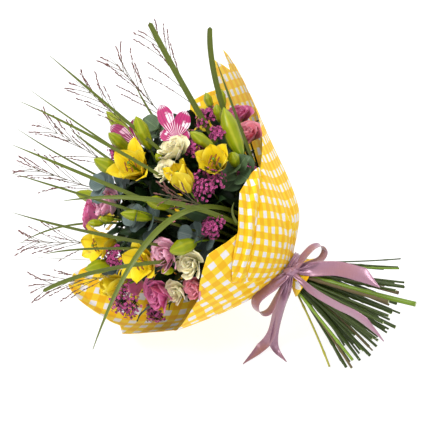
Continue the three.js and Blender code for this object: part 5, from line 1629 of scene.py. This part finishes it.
@dataclass
class Ribbon:
    """The satin ribbon: a band round the neck, and a bow with two loops and four tails."""

    place: Arrangement
    satin: bpy.types.Material
    knot_turn: float = 43
    band_radius: float = 0.028
    band_width: float = 0.013
    width: float = 0.025
    knot_shift: tuple[float, float] = (0.004, -0.003)
    knot_rise: float = 0.006
    knot_height: float = 0.014
    front_turn: float = 23
    out: Vector = field(init=False)
    across: Vector = field(init=False)

    def __post_init__(self) -> None:
        """Sets the knot's directions."""
        self.out = direction(RIGHT_ANGLE, self.knot_turn)
        self.across = direction(RIGHT_ANGLE, self.knot_turn - RIGHT_ANGLE)

    def at(self, x: float, y: float, z: float) -> Vector:
        """A place from the knot, in millimetres: down the stems, across them, and out from them."""
        reach = self.band_radius + self.knot_rise + z / 1000
        place = self.place.binding + self.out * reach - AXIS * (x / 1000) + self.across * (y / 1000)
        return place + self.across * self.knot_shift[1] - AXIS * self.knot_shift[0]

    def on_table(self, right: float, forward: float, up: float) -> Vector:
        """A place from the tie, in millimetres: right and forwards as the front sees it, and up."""
        turn = math.radians(self.front_turn)
        rightward = Vector((math.cos(turn), math.sin(turn), 0))
        toward = Vector((math.sin(turn), -math.cos(turn), 0))
        place = self.place.binding + (rightward * right + toward * forward + Vector((0, 0, up))) / 1000
        place.z = max(place.z, self.place.table + 0.0008)
        return place

    def strip(
        self, name: str, points: Sequence[Vector], way: Callable[[float, Vector], Vector], cut: bool = True,
        share: float = 1,
    ) -> bpy.types.Object:
        """Builds a strip of ribbon along a path.

        Args:
            name: The piece's name.
            points: What the path passes.
            way: The direction across the ribbon, from the share of its length and its direction there.
            cut: Whether its far end is a slanted cut; otherwise it runs back into the knot.
            share: How much of the ribbon's width lies open.

        Returns:
            The piece.
        """
        rows, columns = 110, 15
        path = smooth_path(points, rows)
        tangents, _, _ = path_frames(path)
        t = np.linspace(0, 1, rows)
        across = listed(way(float(x), Vector(d)) for x, d in zip(t, tangents))
        across -= tangents * np.sum(across * tangents, axis=1, keepdims=True)
        across /= np.linalg.norm(across, axis=1, keepdims=True)
        facing = np.cross(tangents, across)
        s = np.linspace(-1, 1, columns)
        squeeze = 0.38 + 0.62 * np.clip(t / 0.2, 0, 1) ** 0.8
        if not cut:
            squeeze = np.minimum(squeeze, 0.38 + 0.62 * np.clip((1 - t) / 0.2, 0, 1) ** 0.8)
        half = share * self.width / 2 * squeeze
        slant = np.clip((t - 0.8) / 0.2, 0, 1) if cut else 0 * t
        place = s[:, None] * (1 - 0.96 * slant[None]) + 0.96 * slant[None]
        fold = (1 - squeeze)[None] * 0.007 * np.cos(s[:, None] * 7)
        bow = 0.0022 * (1 - s[:, None] ** 2) * np.sin(5 * t + 0.5)[None] * squeeze[None]
        breadth = (place * half[None])[:, :, None] * across[None]
        grid = path[None] + breadth + (fold + bow)[:, :, None] * facing[None]
        grid[:, :, 2] = np.maximum(grid[:, :, 2], self.place.table + 0.0005)
        length = float(np.linalg.norm(np.diff(path, axis=0), axis=1).sum())
        maker = MeshMaker()
        maker.grid(grid, 0.5, 0, False, s * self.width / 2, t * length)
        made = maker.build(name, [self.satin])
        thicken(made, 0.0004)
        return made

    def band(self) -> bpy.types.Object:
        """The turns of ribbon round the neck, with soft folds along them."""
        maker = MeshMaker()
        edges = np.linspace(0, 360, 97)
        turns = edges[:-1]
        s = np.linspace(-1, 1, 13)
        waves = 0.0009 * np.sin(s * 8.5)[None]
        radius = self.band_radius + waves + 0.0006 * np.sin(np.radians(turns * 5))[:, None]
        half = self.band_width / 2
        along = s[None] * half + 0.001 * np.sin(np.radians(turns))[:, None]
        points = round_axis(self.place.binding, turns, radius, along)
        maker.grid(points, 0.5, 0, True, np.radians(edges) * self.band_radius, s * half)
        made = maker.build("ribbon_turns", [self.satin])
        thicken(made, 0.0012)
        return made

    def knot(self) -> bpy.types.Object:
        """The knot: a short turn of ribbon drawn tight, with folds that run round it."""
        frame = frame_at(self.at(0, 0, -5), self.out, 30)
        columns, rows = 48, 26
        angle = np.linspace(0, 2 * math.pi, columns, endpoint=False)
        t = np.linspace(0, 1, rows)
        wide = 0.0098 * np.sin(math.pi * np.clip(t, 0.03, 0.999)) ** 0.5
        folds = 1 + 0.07 * np.sin(angle * 3 + 5 * t[None].T).T * np.sin(math.pi * t)[None]
        rise = t[None] * self.knot_height + 0.0012 * np.sin(angle * 2 + 0.6)[:, None] * t[None]
        x = 1.45 * wide[None] * folds * np.cos(angle)[:, None]
        points = np.stack([x, 0.8 * wide[None] * folds * np.sin(angle)[:, None], rise], axis=2)
        maker = MeshMaker()
        round_knot = np.linspace(0, 0.06, columns + 1)
        maker.grid(apply(frame, points), 0.5, 0, True, round_knot, t * self.knot_height)
        return maker.build("ribbon_knot", [self.satin])

    def make(self) -> list[bpy.types.Object]:
        """Builds the bow's pieces."""
        upper = (
            (0, 2, 0), (3, 16, 4), (5, 37, 8), (10, 55, 10), (20, 64, 10), (31, 58, 8), (31, 43, 6),
            (17, 24, 3), (0, 4, 0),
        )
        lower = (
            (0, -2, 0), (-18, -40, 8), (-28, -68, 8), (-24, -83, 6), (-10, -89, 4), (1, -78, 2), (0, -51, 0),
            (-1, -23, 0), (0, -4, 0),
        )
        right = ((0, 2, 0), (28, 21, 10), (62, 43, 32), (96, 54, 58), (132, 63, 82))
        stems = (
            (0, -2, 0), (26, -8, 14), (53, -11, 34), (89, -10, 62), (124, -7, 88), (162, -11, 112),
            (178, -14, 120),
        )
        left = ((-12, 51, -10), (-23, 54, -55), (-32, 57, -112), (-50, 62, -141), (-87, 86, -148))
        front = ((-7, 48, -10), (-17, 51, -55), (-25, 55, -112), (-24, 66, -141), (-11, 93, -148))
        out, down, top = self.out, -AXIS, self.at(0, -4, 0)
        beside = self.on_table(0.55, 0.83, 0) - self.place.binding
        before = self.on_table(0.85, -0.5, 0) - self.place.binding
        beside.z = before.z = 0
        upper, lower, right, stems = ([self.at(*p) for p in line] for line in (upper, lower, right, stems))
        left, front = ([top, *(self.on_table(*p) for p in line)] for line in (left, front))
        return [
            self.knot(),
            self.strip("bow_loop_upper", upper, lambda t, d: out + down * 0.45, cut=False),
            self.strip("bow_loop_lower", lower, lambda t, d: down.lerp(out, 0.3 + 0.6 * t), cut=False),
            self.strip("bow_tail_right", right, lambda t, d: d.cross(out)),
            self.strip("bow_tail_stems", stems, lambda t, d: d.cross(out) - out * 1.1, share=0.74),
            self.strip("bow_tail_left", left, lambda t, d: beside, share=0.8),
            self.strip("bow_tail_front", front, lambda t, d: before, share=0.7),
        ]


@dataclass
class Studio:
    """The table, the light and the camera."""

    binding: Vector
    azimuth: float = 23
    elevation: float = 43
    distance: float = 2.0
    metre_per_pixel: float = 0.00175
    frame_width: int = 430
    tie_pixel: tuple[float, float] = (290, 268)
    sensor: float = 36
    table_half: float = 12
    room_light: float = 0.62

    def make(self, finish: bpy.types.Material) -> None:
        """Builds the table top, the lamps, the world and the camera.

        Args:
            finish: The table's material.
        """
        maker = MeshMaker()
        steps = np.linspace(-self.table_half, self.table_half, 9)
        maker.grid(np.stack([*np.meshgrid(steps, steps, indexing="ij"), np.zeros((9, 9))], axis=2))
        floor = maker.build("table_top", [finish])
        floor.location.z = -0.0005
        self.lamp("key lamp", (-0.7, -0.9, 2.3), 1.1, 48)
        self.lamp("fill lamp", (1.7, -1.3, 1.2), 1.6, 12)
        self.lamp("rear lamp", (0.4, 1.7, 2.0), 1.5, 24)
        world = bpy.data.worlds.new("pale room")
        world.use_nodes = True
        background = world.node_tree.nodes["Background"]
        NodeSheet(world.node_tree).fill(background, {"Color": rgba((1, 1, 1)), "Strength": self.room_light})
        bpy.context.scene.world = world
        bpy.context.scene.view_settings.view_transform = "Standard"
        self.camera()

    @staticmethod
    def lamp(name: str, at: tuple[float, float, float], size: float, power: float) -> None:
        """Adds a soft square lamp that points at the bouquet."""
        light = bpy.data.lights.new(name, "AREA")
        light.size, light.energy = size, power
        made = bpy.data.objects.new(name, light)
        made.location = at
        made.rotation_euler = (Vector((0, 0, 0.2)) - Vector(at)).to_track_quat("-Z", "Y").to_euler()
        bpy.context.scene.collection.objects.link(made)

    def camera(self) -> None:
        """Adds the camera at the photograph's viewing angle."""
        azimuth, elevation = math.radians(self.azimuth), math.radians(self.elevation)
        right = Vector((math.cos(azimuth), math.sin(azimuth), 0))
        level = Vector((math.sin(azimuth), -math.cos(azimuth), 0))
        back = level * math.cos(elevation) + UP * math.sin(elevation)
        up = back.cross(right)
        middle = self.frame_width / 2
        aside = right * (middle - self.tie_pixel[0]) + up * (self.tie_pixel[1] - middle)
        target = self.binding + aside * self.metre_per_pixel
        data = bpy.data.cameras.new("camera")
        data.sensor_width = self.sensor
        data.lens = self.sensor * self.distance / (self.metre_per_pixel * self.frame_width)
        data.clip_end = 20
        made = bpy.data.objects.new("camera", data)
        basis = Matrix((right, up, back)).transposed().to_4x4()
        made.matrix_world = Matrix.Translation(target + back * self.distance) @ basis
        bpy.context.scene.collection.objects.link(made)
        bpy.context.scene.camera = made


WINGS = {
    "bright wing": ("magenta wing", (0.43, 0.009, 0.13), (0.84, 0.7, 0.78), (0.25, 0.005, 0.08)),
    "deep wing": ("maroon wing", (0.34, 0.02, 0.12), (0.8, 0.45, 0.6), (0.12, 0.004, 0.04)),
}
SLOTS = {
    "lily": "lily_tepal", "pink": "pink_petal", "cream": "cream_petal", "sea": "lavender_floret",
    "eucalyptus": "eucalyptus_leaf", "panicle": "grass_panicle", "butterfly": "butterfly_wing",
}


def dress(piece: bpy.types.Object, slot: str, *nodes: str) -> None:
    """Makes a piece move with the bouquet, in place of its solids."""
    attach(piece, ROOT)
    if nodes:
        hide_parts(*nodes)


def main() -> None:
    """Builds the bouquet's pieces in order, and logs the stems, the heads and the bow's pieces."""
    logging.basicConfig(level=logging.INFO, format="%(name)s: %(message)s")
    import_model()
    low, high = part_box("ribbon_band")
    binding = (Vector(low) + Vector(high)) / 2
    place = Arrangement(binding)
    groups = PaintGroups()
    cloths = ClothFinishes(groups)
    finishes = {name: finish.make(groups) for name, finish in PLANTS.items()}
    finishes |= {name: cloths.wing(*look) for name, look in WINGS.items()}
    wrap = Wrap(place)
    greenery = Greenery(place, finishes, wrap).make(HEADS, BUDS, BLADES)
    dress(greenery, "stem", "stems_and_blades")
    LOG.info("stems and leaves: %d faces", len(greenery.data.polygons))
    blooms = Blooms(place, finishes)
    for head in HEADS:
        bloom = blooms.make(head)
        bloom.name = f"fine_{head.name}"
        dress(bloom, SLOTS[head.name.split("_")[0]], head.name)
        LOG.info("%s: %d faces", head.name, len(bloom.data.polygons))
    dress(wrap.make(cloths.gingham()), "wrap", "wrap")
    ribbon = Ribbon(place, cloths.satin())
    dress(ribbon.band(), "ribbon", "ribbon_band")
    for i, piece in enumerate(ribbon.make()):
        dress(piece, "ribbon", *(["ribbon_bow"] if i == 0 else []))
        LOG.info("%s", piece.name)
    Studio(binding).make(cloths.table())


if __name__ == "__main__":
    main()
